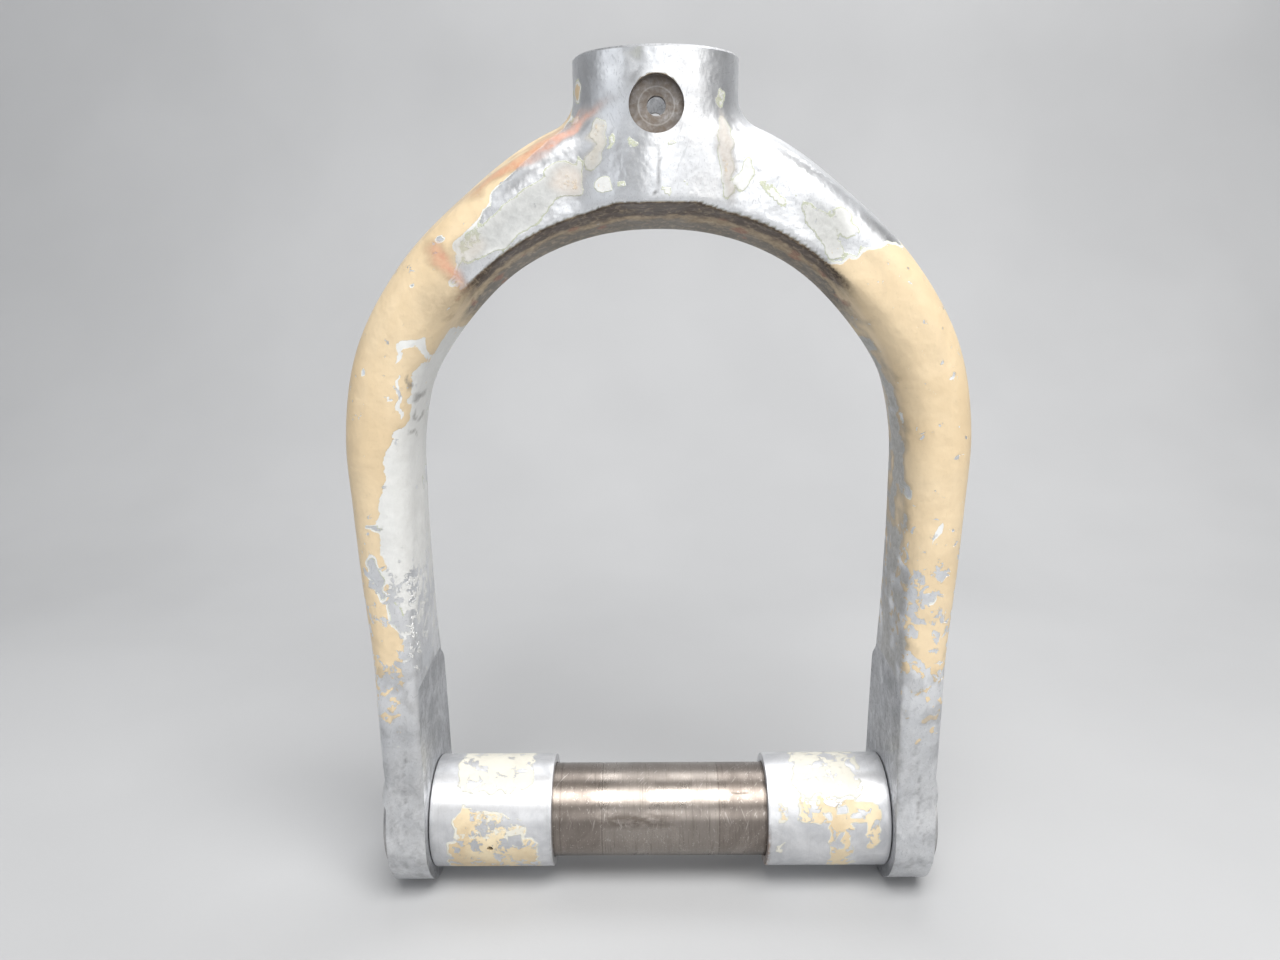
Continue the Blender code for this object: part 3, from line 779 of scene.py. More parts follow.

# %% Fork values, point by point
# Underside colours: tan, a grey strip and a brown primer band, each made much darker than its coat as
# painted shade under the arch.
SHADED_UNDERSIDE_BROWN = (0.058, 0.038, 0.027)
SHADED_UNDERSIDE_TAN = (0.27, 0.195, 0.115)
SHADED_UNDERSIDE_GREY = (0.15, 0.135, 0.115)
# Taupe grey for the sanded inner facet: partly its own tone, and on the right arm mostly painted shade.
FACET_TAUPE_AND_SHADE = (0.36, 0.345, 0.32)
RED_OXIDE = (0.30, 0.12, 0.07)
PAINT_KEPT = 0.30
LOW_DARK_GREY = (0.30, 0.305, 0.32)
LOW_GREY = (0.46, 0.47, 0.49)


# Heights over the axle between which an effect grows from nothing to full.
CHIPPED, BARE_FEET, RAGGED, FLAKED = (0.140, 0.105), (0.060, 0.030), (0.090, 0.060), (0.060, 0.045)
FACET_CHIPPED, GREYER_BELOW, DARKER_BELOW = (0.125, 0.085), (0.072, 0.040), (0.100, 0.060)
# Heights over the axle, and where across the arm the sanded inner facet begins there.
FACET_HEIGHTS = [0.06, 0.09, 0.11, 0.13, 0.15, 0.17, 0.19, 0.205, 0.222]
FACET_EDGES = [-0.30, -0.35, -0.08, -0.02, -0.14, -0.50, -0.76, -0.84, -0.98]
RIGHT_FACET_EDGE = -0.90


def fork_values(points, normals, flip):
    """Wear, chips and tint of the front, or of the back when flip is -1."""
    x, y, z = points[:, 0] * flip, points[:, 1] * flip, points[:, 2] - AXLE_Z
    side = np.sign(points[:, 0])
    place, outward, values = along_arm(np.abs(x), points[:, 2])
    across = outward / values[:, 0]
    bumps = wobble(points, 0.012, 3) + 0.6 * wobble(points, 0.005, 4)

    left_edge = np.interp(across, [-1, -0.3, 0.5, 0.85], [0.088, 0.083, 0.056, 0.024])
    right_edge = np.interp(across, [-1, 1], [0.071, 0.088])
    sanded_to = np.where(side < 0, left_edge, right_edge) + 0.0022 * bumps
    wear = TAN + (BARE - TAN) * (1 - ramp(place, sanded_to - 0.005, sanded_to + 0.003))
    chips = np.full(len(x), 0.16)

    low = ramp(z, *CHIPPED)
    wear += ramp(z, *BARE_FEET) * 0.75
    chips += low * (0.42 + np.where(side > 0, 0.40 * ramp(across, 0.1, -0.7), 0))
    chips += ramp(z, *RAGGED) * 0.55 + ramp(z, *FLAKED) * 0.25

    facet_edge = np.where(side < 0, np.interp(z, FACET_HEIGHTS, FACET_EDGES), RIGHT_FACET_EDGE)
    facet = 1 - ramp(across + 0.09 * bumps, facet_edge - 0.14, facet_edge + 0.16)
    facet *= ramp(place, 0.086, 0.096)
    chips += np.where(side < 0, 0.45 * facet * ramp(z, *FACET_CHIPPED), 0)
    wear = np.where(facet > 0, np.maximum(wear, wear + (WHITE - wear) * facet), wear)

    swayed_x = x + 0.0010 * wobble(points, 0.007, 5)
    swayed_z = z + 0.0010 * wobble(points, 0.007, 6)
    for spot, size, tilt, soft, level in WORN_PLACES:
        amount = patch(swayed_x, swayed_z, spot, size, tilt, soft)
        wear += (level - wear) * amount
        if level < PAINT_KEPT:
            chips *= 1 - amount

    tint = np.zeros((len(x), 4))
    for spot, size, tilt, soft, colour, strength in TINTED_PLACES:
        mix_tint(tint, colour, strength * patch(swayed_x, swayed_z, spot, size, tilt, soft))
    # The sanded inner facet is tinted taupe grey; the right arm gets far more of it than the left, as
    # painted shade on the facet turned away from the light.
    mix_tint(tint, FACET_TAUPE_AND_SHADE, np.where(side < 0, 0.12, 0.75) * facet)

    # Under the arch, on faces turned in towards the wheel, the paint is kept and its colours are darkened
    # as painted shade.
    inward = -(normals[:, 0] * side * np.interp(place, arm_places, arm_normals[:, 0]))
    inward -= normals[:, 2] * np.interp(place, arm_places, arm_normals[:, 1])
    under = ramp(inward, 0.45, 0.70) * ramp(place, 0.105, 0.085)
    wear += (TAN - wear) * under
    chips *= 1 - 0.5 * under
    y_ragged = y + 0.0012 * bumps
    # Greyer towards the bottom of the arms, and darker grey in blotches lower still.
    mix_tint(tint, LOW_GREY, 0.34 * ramp(z, *GREYER_BELOW))
    blotch = ramp(wobble(points, 0.011, 9) + 0.6 * wobble(points, 0.004, 10), 0.0, 1.0)
    mix_tint(tint, LOW_DARK_GREY, 0.42 * blotch * ramp(z, *DARKER_BELOW))
    # Painted shade under the arch: darkened tan, a darkened grey strip near the ridge and a near-black band
    # by the front edge; the grey strip and brown primer band are real, their darkness is painted shade.
    mix_tint(tint, SHADED_UNDERSIDE_TAN, 0.75 * under * ramp(place, 0.098, 0.07))
    grey = ramp(y_ragged, -0.0120, -0.0085) * ramp(place, 0.112, 0.09)
    mix_tint(tint, SHADED_UNDERSIDE_GREY, 0.9 * under * grey)
    mix_tint(tint, RED_OXIDE, 0.6 * under * ramp(wobble(points, 0.007, 8), 0.95, 1.15))
    edge = ramp(y_ragged, -0.0125, -0.0155) * ramp(place, 0.090, 0.076)
    mix_tint(tint, SHADED_UNDERSIDE_BROWN, 0.95 * under * edge)
    return wear, chips, tint


fork_points, fork_normals = surface(fork.data)
front_values = fork_values(fork_points, fork_normals, 1)
back_values = fork_values(fork_points, fork_normals, -1)
behind = ramp(fork_points[:, 1], -0.002, 0.002)
for name, front, back in zip(("wear", "chips", "tint"), front_values, back_values):
    share = behind if front.ndim == 1 else behind[:, None]
    store(fork.data, name, front * (1 - share) + back * share)
print("fork points with values", len(fork_points))

# %% [markdown]
# ## The axle tube and its sleeves
#
# The tube is ground steel, 38.1 mm across, and the wheel bearings sit on it. The two sleeves
# are turned from aluminium and slide on the tube. Their ends are square with a lightly broken
# edge. The left sleeve has a small cross hole. All three are lathe work.

# %% Tube and sleeves
SIDES = (("left", -1), ("right", 1))
GAP = 0.0003
ROUND_SIDES = 160
TUBE_RADIUS = (tube_high.z - tube_low.z) / 2
TUBE_HALF = tube_high.x
TUBE_BORE = 0.0159
TUBE_EDGE = 0.0006
RING_STEP = 0.0010
sleeve_low, sleeve_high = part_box("spacer_left")
SLEEVE_RADIUS = (sleeve_high.z - sleeve_low.z) / 2
SLEEVE_INNER_X = -sleeve_high.x
SLEEVE_EDGE = 0.0005
SLEEVE_HOLE_X = -0.0701
SLEEVE_HOLE_DROP = math.radians(8.3)
SLEEVE_HOLE_RADIUS = 0.0013


def ring_outline(inside, outside, low, high):
    return [(inside, high), (outside, high), (outside, low), (inside, low)]


def with_rings(outline, step):
    """The outline with its long straight runs along the axle split into short ones."""
    made = []
    for i, (radius, height) in enumerate(outline):
        end_radius, end_height = outline[(i + 1) % len(outline)]
        count = max(1, round(abs(end_height - height) / step))
        for part in range(count):
            share = part / count
            made.append((radius + (end_radius - radius) * share, height + (end_height - height) * share))
    return made


def finish_piece(piece, body, node):
    """Smooth shading, and the piece's place in the frame."""
    piece.data.shade_smooth()
    piece.data.set_sharp_from_angle(angle=CREASE)
    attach(piece, body)
    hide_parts(node)
    return piece


tube_outline = round_corners(ring_outline(TUBE_BORE, TUBE_RADIUS, -TUBE_HALF, TUBE_HALF), TUBE_EDGE)
tube = turned("ground_tube", with_rings(tube_outline, RING_STEP), ROUND_SIDES, on_axle(1))
finish_piece(tube, "axle", "axle_tube")
sleeves = {}
for name, side in SIDES:
    outline = ring_outline(TUBE_RADIUS + GAP, SLEEVE_RADIUS, SLEEVE_INNER_X, TUBE_HALF)
    outline = with_rings(round_corners(outline, SLEEVE_EDGE), RING_STEP)
    sleeve = turned(f"sleeve_{name}", outline, ROUND_SIDES, on_axle(side))
    if side < 0:
        out = Vector((0, -math.cos(SLEEVE_HOLE_DROP), -math.sin(SLEEVE_HOLE_DROP)))
        turn = out.to_track_quat("Z", "Y").to_matrix().to_4x4()
        place = Matrix.Translation((SLEEVE_HOLE_X, 0, AXLE_Z)) @ turn
        near, far = TUBE_RADIUS - 2 * GAP, SLEEVE_RADIUS + TOOL_REACH
        drill = rod(SLEEVE_HOLE_RADIUS, near, far)
        cut(sleeve, turned("sleeve_drill", drill, 32, place, closed=False))
    sleeves[name] = finish_piece(sleeve, f"spacer_{name}_body", f"spacer_{name}")
print("tube radius", round(TUBE_RADIUS, 5), "sleeve radius", round(SLEEVE_RADIUS, 5))

# %% [markdown]
# ## Paint left on the sleeves and stains on the tube
#
# The sleeves and the tube are round, so their maps are drawn in two numbers: the place along
# the axle, and the angle round it, counted up from straight ahead. The paint is a few patches
# with ragged rims. The tube has one long dark smudge and rust where the right sleeve ends.

# %% Sleeve and tube values
SLEEVE_PAINT = {  # place along, angle, half sizes, wear
    "left": [
        (-0.0690, -26, 0.0185, 31, 0.10), (-0.0735, 15, 0.0115, 17, 0.40),
        (-0.0600, 12, 0.0050, 12, 0.42), (-0.0690, 88, 0.0165, 40, 0.52),
        (-0.0790, 24, 0.0040, 16, 0.20),
    ],
    "right": [
        (0.0735, 30, 0.0160, 11, 0.12), (0.0742, -12, 0.0046, 46, 0.12), (0.0875, 14, 0.0026, 20, 0.12),
        (0.0640, 33, 0.0060, 9, 0.14), (0.0700, 85, 0.0150, 42, 0.53), (0.0505, 27, 0.0018, 10, 0.40),
        (0.0500, -10, 0.0012, 8, 0.45), (0.0800, -30, 0.0020, 6, 0.42),
    ],
}
SLEEVE_BARE = {
    "left": [(-0.0600, 2, 0.0030, 7), (-0.0700, 40, 0.0120, 6)],
    "right": [
        (0.0745, 32, 0.0020, 5), (0.0810, 27, 0.0028, 4), (0.0740, -2, 0.0012, 9),
        (0.0690, 26, 0.0016, 4),
    ],
}
SLEEVE_RUST = (0.30, 0.17, 0.09)
TUBE_SMUDGE = (-0.0100, 19, 0.0150, 8)
TUBE_SCRATCH = (0.0330, 52, 0.0040, 1.2)


def round_places(points):
    """Place along the axle, and the angle round it in degrees, up from straight ahead."""
    angle = np.degrees(np.arctan2(points[:, 2] - AXLE_Z, -points[:, 1]))
    return points[:, 0], angle


def band(along, angle, place, turn, long, wide, soft=0.12):
    out = np.hypot((along - place) / long, (angle - turn) / wide)
    out = np.maximum(out * 0.8, np.maximum(np.abs(along - place) / long, np.abs(angle - turn) / wide))
    return 1 - ramp(out, 1 - soft, 1 + soft)


for name, sleeve in sleeves.items():
    points, _ = surface(sleeve.data)
    along, angle = round_places(points)
    swayed = along + 0.0009 * wobble(points, 0.006, 21)
    turned_by = angle + 2.6 * wobble(points, 0.006, 22)
    wear = np.full(len(points), 0.98)
    for place, turn, long, wide, level in SLEEVE_PAINT[name]:
        wear = np.minimum(wear, 1 - (1 - level) * band(swayed, turned_by, place, turn, long, wide))
    for place, turn, long, wide in SLEEVE_BARE[name]:
        wear = np.maximum(wear, band(swayed, turned_by, place, turn, long, wide, 0.5))
    painted = ramp(wear, 0.9, 0.3)
    tint = np.zeros((len(points), 4))
    inner_end = ramp(np.abs(along), SLEEVE_INNER_X + 0.0016, SLEEVE_INNER_X + 0.0006)
    mix_tint(tint, SLEEVE_RUST, (0.75 if name == "right" else 0.25) * inner_end * ramp(angle, 30, -10))
    store(sleeve.data, "wear", wear)
    store(sleeve.data, "chips", 0.30 + 0.35 * painted)
    store(sleeve.data, "tint", tint)
points, _ = surface(tube.data)
along, angle = round_places(points)
tint_mask = band(along, angle, *TUBE_SMUDGE, 0.6) * 0.8
tint_mask = np.maximum(tint_mask, band(along, angle, *TUBE_SCRATCH, 0.5))
store(tube.data, "tint_mask", tint_mask)
print("sleeve points", [len(s.data.vertices) for s in sleeves.values()], "tube points", len(points))

# %% [markdown]
# ## Tow bar cups, stud and nuts
#
# A flanged cup goes through each foot into the tube. Its open recess takes the peg of a tow
# bar. One long stud ties the two cups together, with a washer and a slotted nut at the bottom
# of each recess, and a split pin through each nut. The wheel side hides all of this, but the
# recess is open to the side, so it is finished like the rest.

# %% Cups and washers
CUP_FLANGE_RADIUS = 0.0224
CUP_RADIUS = LUG_BORE - GAP
CUP_RECESS = 0.0127
CUP_FLOOR = 0.0030
CUP_EDGE = 0.0004
CUP_LEAD = 0.0008
cup_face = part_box("axle_cup_right")[1].x
SEAT_X = cup_face - 0.0270
STUD_RADIUS = 0.0047625
WASHER_RADIUS = 0.0087
WASHER = 0.0015
WASHER_SIDES = 72
cup_outline = [
    (CUP_RECESS + CUP_LEAD, cup_face),
    (CUP_FLANGE_RADIUS, cup_face),
    (CUP_FLANGE_RADIUS, LUG_OUTER_X + GAP),
    (CUP_RADIUS, LUG_OUTER_X + GAP),
    (CUP_RADIUS, SEAT_X - CUP_FLOOR),
    (STUD_RADIUS + GAP, SEAT_X - CUP_FLOOR),
    (STUD_RADIUS + GAP, SEAT_X),
    (CUP_RECESS, SEAT_X),
    (CUP_RECESS, cup_face - CUP_LEAD),
]
washer_outline = ring_outline(STUD_RADIUS + GAP, WASHER_RADIUS, SEAT_X + GAP, SEAT_X + GAP + WASHER)
cups, washers = [], []
for name, side in SIDES:
    cup = turned(f"tow_cup_{name}", round_corners(cup_outline, CUP_EDGE), ROUND_SIDES, on_axle(side))
    cups.append(finish_piece(cup, "axle", f"axle_cup_{name}"))
    washer = turned(f"washer_{name}", round_corners(washer_outline, CUP_EDGE), WASHER_SIDES, on_axle(side))
    washers.append(finish_piece(washer, "axle", f"stud_washer_{name}"))
print("cup face", round(cup_face, 4), "seat", round(SEAT_X, 4))

# %% [markdown]
# ## The stud
#
# One long stud with a thread at each end pulls the two cups together. A true thread winds
# round, but rings of the same pitch look the same at this size, and a lathe outline makes them.

# %% Stud with cut threads
THREAD_PITCH = 0.00106
THREAD_DEPTH = 0.00055
THREAD_START = SEAT_X - 0.004
STUD_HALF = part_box("tie_stud")[1].x
STUD_EDGE = 0.0008
COTTER_HOLE = 0.0013
NUT_X = SEAT_X + 2 * GAP + WASHER
NUT_HEIGHT = 0.0103
NUT_SLOT_DEPTH = 0.0037
COTTER_X = NUT_X + NUT_HEIGHT - NUT_SLOT_DEPTH / 2


def thread_line(start, end):
    """Crests and roots from start to end."""
    line = []
    for i in range(int((end - start) / THREAD_PITCH)):
        place = start + i * THREAD_PITCH
        line.append((STUD_RADIUS, place))
        line.append((STUD_RADIUS - THREAD_DEPTH, place + THREAD_PITCH / 2))
    return line


threads = thread_line(THREAD_START, STUD_HALF - STUD_EDGE)
stud_end = [(STUD_RADIUS, STUD_HALF - STUD_EDGE), (STUD_RADIUS - STUD_EDGE, STUD_HALF), (0, STUD_HALF)]
upper = threads + stud_end
stud_outline = list(reversed(upper)) + [(r, -h) for r, h in upper]
stud = turned("threaded_stud", stud_outline, 48, on_axle(1), closed=False)
for side in (-1, 1):
    drill = rod(COTTER_HOLE, -TOOL_REACH, TOOL_REACH)
    place = Matrix.Translation((side * COTTER_X, 0, AXLE_Z))
    cut(stud, turned("stud_drill", drill, 24, place, closed=False))
finish_piece(stud, "axle", "tie_stud")
print("stud", len(threads) // 2, "threads an end")

# %% [markdown]
# ## Slotted nuts
#
# Each nut is six-sided with a round, slotted crown, so that a pin can lock it. It is made as a
# shop would: a turned blank, milled to six flats, bored, and sawn across three times.

# %% Slotted nuts
NUT_FLATS = 0.0143
NUT_CROWN_RADIUS = 0.0066
NUT_SLOT_WIDTH = 0.0032
NUT_CHAMFER = 0.0011
NUT_EDGE = 0.0005


def slotted_nut(name, side):
    """A blank with a round crown, milled to six flats, bored and slotted three times."""
    reach = NUT_FLATS / math.sqrt(3)
    top, body = NUT_X + NUT_HEIGHT, NUT_X + NUT_HEIGHT - NUT_SLOT_DEPTH
    blank = [
        (0, NUT_X), (reach - NUT_CHAMFER, NUT_X), (reach, NUT_X + NUT_CHAMFER / 2),
        (reach, body - NUT_CHAMFER / 2), (reach - NUT_CHAMFER, body), (NUT_CROWN_RADIUS, body),
        (NUT_CROWN_RADIUS, top - NUT_EDGE), (NUT_CROWN_RADIUS - NUT_EDGE, top), (0, top),
    ]
    nut = turned(name, blank, 96, on_axle(side), closed=False)
    flats = rod(reach, NUT_X - GAP, top + GAP)
    cut(nut, turned("nut_flats", flats, 6, on_axle(side), closed=False), "INTERSECT")
    tap = rod(STUD_RADIUS + GAP, NUT_X - GAP, top + GAP)
    cut(nut, turned("nut_tap", tap, 48, on_axle(side), closed=False))
    for i in range(3):
        turn = Matrix.Rotation(i * math.pi / 3, 4, "Z")
        size = Matrix.Diagonal((2.2 * reach, NUT_SLOT_WIDTH, NUT_SLOT_DEPTH, 1))
        place = on_axle(side) @ Matrix.Translation((0, 0, top - NUT_SLOT_DEPTH / 2 + GAP / 2)) @ turn @ size
        shape = bmesh.new()
        bmesh.ops.create_cube(shape, size=1.0, matrix=place)
        cut(nut, from_shape("nut_slot", shape))
    return nut


nuts = []
for name, side in SIDES:
    nut = slotted_nut(f"slotted_nut_{name}", side)
    nuts.append(finish_piece(nut, "axle", f"castle_nut_{name}"))
print("nuts", [len(nut.data.polygons) for nut in nuts])

# %% [markdown]
# ## Split pins
#
# A split pin is one half-round wire folded back on itself, flat to flat, with an open eye at
# the fold. One leg is bent over the nut and the other is cut short. So it is made as it is in
# life: one half-round outline swept along the folded path.

# %% Pin path
PIN_RADIUS = 0.00095
PIN_SPLIT = 0.00004
EYE_PLACE = 0.0094
EYE_RADIUS = 0.0012
EYE_OPEN = math.radians(155)
PIN_NECK = 0.0070
PIN_BEND_PLACE = -0.0070
PIN_BEND = (0.0013, 0.0022)
PIN_BEND_TURN = math.radians(75)
PIN_TAIL = (-0.0006, 0.0030)
PIN_SHORT_LEG = -0.0082


def pin_path():
    """Points as height over the stud's axis and distance across it, from tip to tip."""
    bend = []
    for turn in np.linspace(0, PIN_BEND_TURN, 7):
        height = PIN_BEND_PLACE - PIN_BEND[0] * math.sin(turn)
        bend.append((height, PIN_SPLIT + PIN_BEND[1] * (1 - math.cos(turn))))
    tip = (bend[-1][0] + PIN_TAIL[0], bend[-1][1] + PIN_TAIL[1])
    path = [tip] + bend[::-1] + [(PIN_NECK, PIN_SPLIT)]
    for turn in np.linspace(EYE_OPEN, -EYE_OPEN, 25):
        path.append((EYE_PLACE + EYE_RADIUS * math.cos(turn), EYE_RADIUS * math.sin(turn)))
    return np.array(path + [(PIN_NECK, -PIN_SPLIT), (PIN_SHORT_LEG, -PIN_SPLIT)])


def split_pin(name, side):
    path = pin_path()
    travel = np.gradient(path, axis=0)
    travel /= np.linalg.norm(travel, axis=1)[:, None]
    outward = np.stack([-travel[:, 1], travel[:, 0]], axis=1)
    arc = np.linspace(-math.pi / 2, math.pi / 2, 9)
    shape = bmesh.new()
    rings = []
    for point, out in zip(path, outward):
        ring = []
        for turn in arc:
            height, across = point + out * PIN_RADIUS * math.cos(turn)
            ring.append(shape.verts.new((-height, across, COTTER_X + PIN_RADIUS * math.sin(turn))))
        rings.append(ring)
    for first, second in zip(rings, rings[1:]):
        for i in range(len(arc)):
            j = (i + 1) % len(arc)
            shape.faces.new((first[i], first[j], second[j], second[i]))
    shape.faces.new(rings[0][::-1])
    shape.faces.new(rings[-1])
    bmesh.ops.recalc_face_normals(shape, faces=shape.faces)
    bmesh.ops.transform(shape, matrix=on_axle(side), verts=shape.verts)
    return from_shape(name, shape)


pins = []
for name, side in SIDES:
    pin = split_pin(f"split_pin_{name}", side)
    pins.append(finish_piece(pin, "axle", f"cotter_pin_{name}"))
print("pins", len(pins[0].data.polygons), "faces each")

# %% [markdown]
# ## Finishes
#
# The pieces share a few surface effects: fine scratches, a mottled metal tone, layered paint
# and settled grime. Each effect is one node group, built once and placed in each material with
# its own values. Plain image pictures would be simpler to paint, but nodes stay sharp at any
# distance and need no unwrapping. The groups give out only colours, masks and heights. The
# main shader stays in each material.

# %% Helpers for nodes
def fill(tree, node, values):
    """Gives a node's inputs fixed values, or links from other nodes' outputs."""
    for name, value in values.items():
        if isinstance(value, bpy.types.NodeSocket):
            tree.links.new(value, node.inputs[name])
        else:
            node.inputs[name].default_value = value
    return node


def put(tree, kind, values=None, **settings):
    """Adds a node with its settings and its inputs."""
    made = tree.nodes.new(kind)
    for name, value in settings.items():
        setattr(made, name, value)
    return fill(tree, made, values or {})


def maths(tree, operation, first, second=0.0, third=0.0):
    return put(tree, "ShaderNodeMath", {0: first, 1: second, 2: third}, operation=operation).outputs[0]


def step_between(tree, value, low, high, start=0.0, end=1.0):
    """The value spread from low..high to start..end, and held at both ends."""
    values = {"Value": value, "From Min": low, "From Max": high, "To Min": start, "To Max": end}
    return put(tree, "ShaderNodeMapRange", values).outputs["Result"]


def chain(tree, operation, values):
    """One operation carried through a list of values."""
    result = values[0]
    for value in values[1:]:
        result = maths(tree, operation, result, value)
    return result


def held(tree, value):
    """The value kept between 0 and 1."""
    return put(tree, "ShaderNodeClamp", {"Value": value}).outputs[0]


MIX_INPUTS = (0, 6, 7)  # the mix node's share and its two colours
MIX_OUTPUT = 2


def mixed(tree, share, first, second):
    values = dict(zip(MIX_INPUTS, (share, first, second)))
    return put(tree, "ShaderNodeMix", values, data_type="RGBA").outputs[MIX_OUTPUT]


def tinged(tree, mask, strength, first, second):
    """The second colour laid over the first through a mask, at part strength."""
    return mixed(tree, maths(tree, "MULTIPLY", mask, strength), first, second)


def noise(tree, vector, scale, detail=3.0, roughness=0.5, distortion=0.0):
    values = {
        "Vector": vector, "Scale": scale, "Detail": detail,
        "Roughness": roughness, "Distortion": distortion,
    }
    return put(tree, "ShaderNodeTexNoise", values).outputs["Fac"]


def stretched(tree, vector, scale, turn=None):
    """The places turned, if a turn is given, and then spread by a scale along each axis."""
    if turn is not None:
        vector = put(tree, "ShaderNodeMapping", {"Vector": vector, "Rotation": turn}).outputs["Vector"]
    return put(tree, "ShaderNodeMapping", {"Vector": vector, "Scale": scale}).outputs["Vector"]


def new_group(name, inputs, outputs):
    """An empty node group with named sockets, and its two end nodes."""
    tree = bpy.data.node_groups.new(name, "ShaderNodeTree")
    for socket, kind, value in inputs:
        made = tree.interface.new_socket(socket, in_out="INPUT", socket_type=kind)
        if value is not None:
            made.default_value = value
    for socket, kind in outputs:
        tree.interface.new_socket(socket, in_out="OUTPUT", socket_type=kind)
    return tree, tree.nodes.new("NodeGroupInput").outputs, tree.nodes.new("NodeGroupOutput").inputs


def use(tree, group, values):
    return put(tree, "ShaderNodeGroup", values, node_tree=group).outputs


# %% [markdown]
# ## Fine scratches
#
# Sanding and handling leave many thin straight marks in a few directions. One noise stretched
# a hundred times along one direction gives such marks. Two of them at an angle, cut at a
# threshold, look like a worked surface rather than a printed pattern.

# %% Scratch group
scratches, given, result = new_group(
    "fine_scratches",
    [
        ("Vector", "NodeSocketVector", None), ("Scale", "NodeSocketFloat", 1.0),
        ("Amount", "NodeSocketFloat", 0.5),
    ],
    [("Mask", "NodeSocketFloat"), ("Lines", "NodeSocketFloat")],
)
SCRATCH_TURNS = ((0.4, 0.35, 0.2), (1.3, -0.6, 0.9), (0.2, -0.25, 0.5))
SCRATCH_STRETCH = (1100, 1100, 55)
THIRD = 0.3333
lines = []
for turn in SCRATCH_TURNS:
    spread = stretched(scratches, given["Vector"], SCRATCH_STRETCH, turn)
    scaled = put(scratches, "ShaderNodeVectorMath", {0: spread, "Scale": given["Scale"]}, operation="SCALE")
    lines.append(noise(scratches, scaled.outputs["Vector"], 1.0, 2.0, 0.6))
deepest = chain(scratches, "MAXIMUM", lines)
limit = step_between(scratches, given["Amount"], 0.0, 1.0, 0.80, 0.50)
over = maths(scratches, "SUBTRACT", deepest, limit)
scratches.links.new(step_between(scratches, over, 0.0, 0.06), result["Mask"])
average = chain(scratches, "ADD", lines)
scratches.links.new(maths(scratches, "MULTIPLY", average, THIRD), result["Lines"])
print("scratch group", len(scratches.nodes), "nodes")

# %% [markdown]
# ## Metal tone
#
# Bare metal is never one grey. It has cloudy areas from uneven sanding and handling, and each
# is a little rougher or smoother. One slow noise drives both, so colour and gloss agree.

# %% Metal tone group
metal_tone, given, result = new_group(
    "metal_tone",
    [
        ("Vector", "NodeSocketVector", None), ("Light", "NodeSocketColor", (0.8, 0.8, 0.8, 1)),
        ("Dark", "NodeSocketColor", (0.5, 0.5, 0.5, 1)), ("Scale", "NodeSocketFloat", 60.0),
        ("Smooth", "NodeSocketFloat", 0.3), ("Rough", "NodeSocketFloat", 0.5),
    ],
    [("Color", "NodeSocketColor"), ("Roughness", "NodeSocketFloat")],
)
cloud = noise(metal_tone, given["Vector"], given["Scale"], 5.0, 0.6, 0.6)
cloud = step_between(metal_tone, cloud, 0.36, 0.64)
metal_tone.links.new(mixed(metal_tone, cloud, given["Dark"], given["Light"]), result["Color"])
gloss = step_between(metal_tone, cloud, 0.0, 1.0, given["Rough"], given["Smooth"])
metal_tone.links.new(gloss, result["Roughness"])
print("metal tone group", len(metal_tone.nodes), "nodes")

# %% [markdown]
# ## Layered paint
#
# Topcoat, undercoat, primer and metal are four colours with three thresholds between them. The
# stored wear says how far through the layers the surface is. A jagged noise, scaled by the
# stored chips value, breaks the edges into flakes. The same steps give the height, so each
# coat has a real edge that catches the light.

# %% Layered paint group
TOPCOAT_ENDS, UNDERCOAT_ENDS, PRIMER_ENDS = 0.40, 0.60, 0.66
LAYER_BLEND = 0.012
FLAKE_GAIN, FLAKE_LIMIT = 0.24, 0.70
FEATHER_SCALE, FEATHER_GAIN = 420.0, 0.34
paint_layers, given, result = new_group(
    "paint_layers",
    [
        ("Vector", "NodeSocketVector", None), ("Wear", "NodeSocketFloat", 0.0),
        ("Chips", "NodeSocketFloat", 0.0), ("Flake Scale", "NodeSocketFloat", 240.0),
        ("Topcoat", "NodeSocketColor", (0.8, 0.7, 0.5, 1)),
        ("Undercoat", "NodeSocketColor", (0.8, 0.8, 0.8, 1)),
        ("Primer", "NodeSocketColor", (0.5, 0.6, 0.4, 1)), ("Metal", "NodeSocketColor", (0.7, 0.7, 0.7, 1)),
    ],
    [("Color", "NodeSocketColor"), ("Bare", "NodeSocketFloat"), ("Height", "NodeSocketFloat")],
)
flakes = noise(paint_layers, given["Vector"], given["Flake Scale"], 7.0, 0.60, 0.5)
flakes = maths(paint_layers, "MULTIPLY_ADD", given["Chips"], FLAKE_GAIN, flakes)
flakes = step_between(paint_layers, flakes, FLAKE_LIMIT - LAYER_BLEND, FLAKE_LIMIT + LAYER_BLEND)
feather = noise(paint_layers, given["Vector"], FEATHER_SCALE, 6.0, 0.68)
feather = maths(paint_layers, "MULTIPLY", maths(paint_layers, "SUBTRACT", feather, 0.5), FEATHER_GAIN)
level = chain(paint_layers, "ADD", [given["Wear"], flakes, feather])
gone = []
for end in (TOPCOAT_ENDS, UNDERCOAT_ENDS, PRIMER_ENDS):
    gone.append(step_between(paint_layers, level, end - LAYER_BLEND, end + LAYER_BLEND))
shade = mixed(paint_layers, gone[0], given["Topcoat"], given["Undercoat"])
shade = mixed(paint_layers, gone[1], shade, given["Primer"])
shade = mixed(paint_layers, gone[2], shade, given["Metal"])
paint_layers.links.new(shade, result["Color"])
paint_layers.links.new(gone[2], result["Bare"])
depth = chain(paint_layers, "ADD", gone)
paint_layers.links.new(maths(paint_layers, "MULTIPLY_ADD", depth, -THIRD, 1.0), result["Height"])
print("paint group", len(paint_layers.nodes), "nodes")

# %% [markdown]
# ## Grime
#
# Oil and dust darken a surface in soft blotches, and stay in its pores as fine specks. Grime
# is a darker colour mixed in by two noises. It also dulls the gloss, so its mask goes out too.

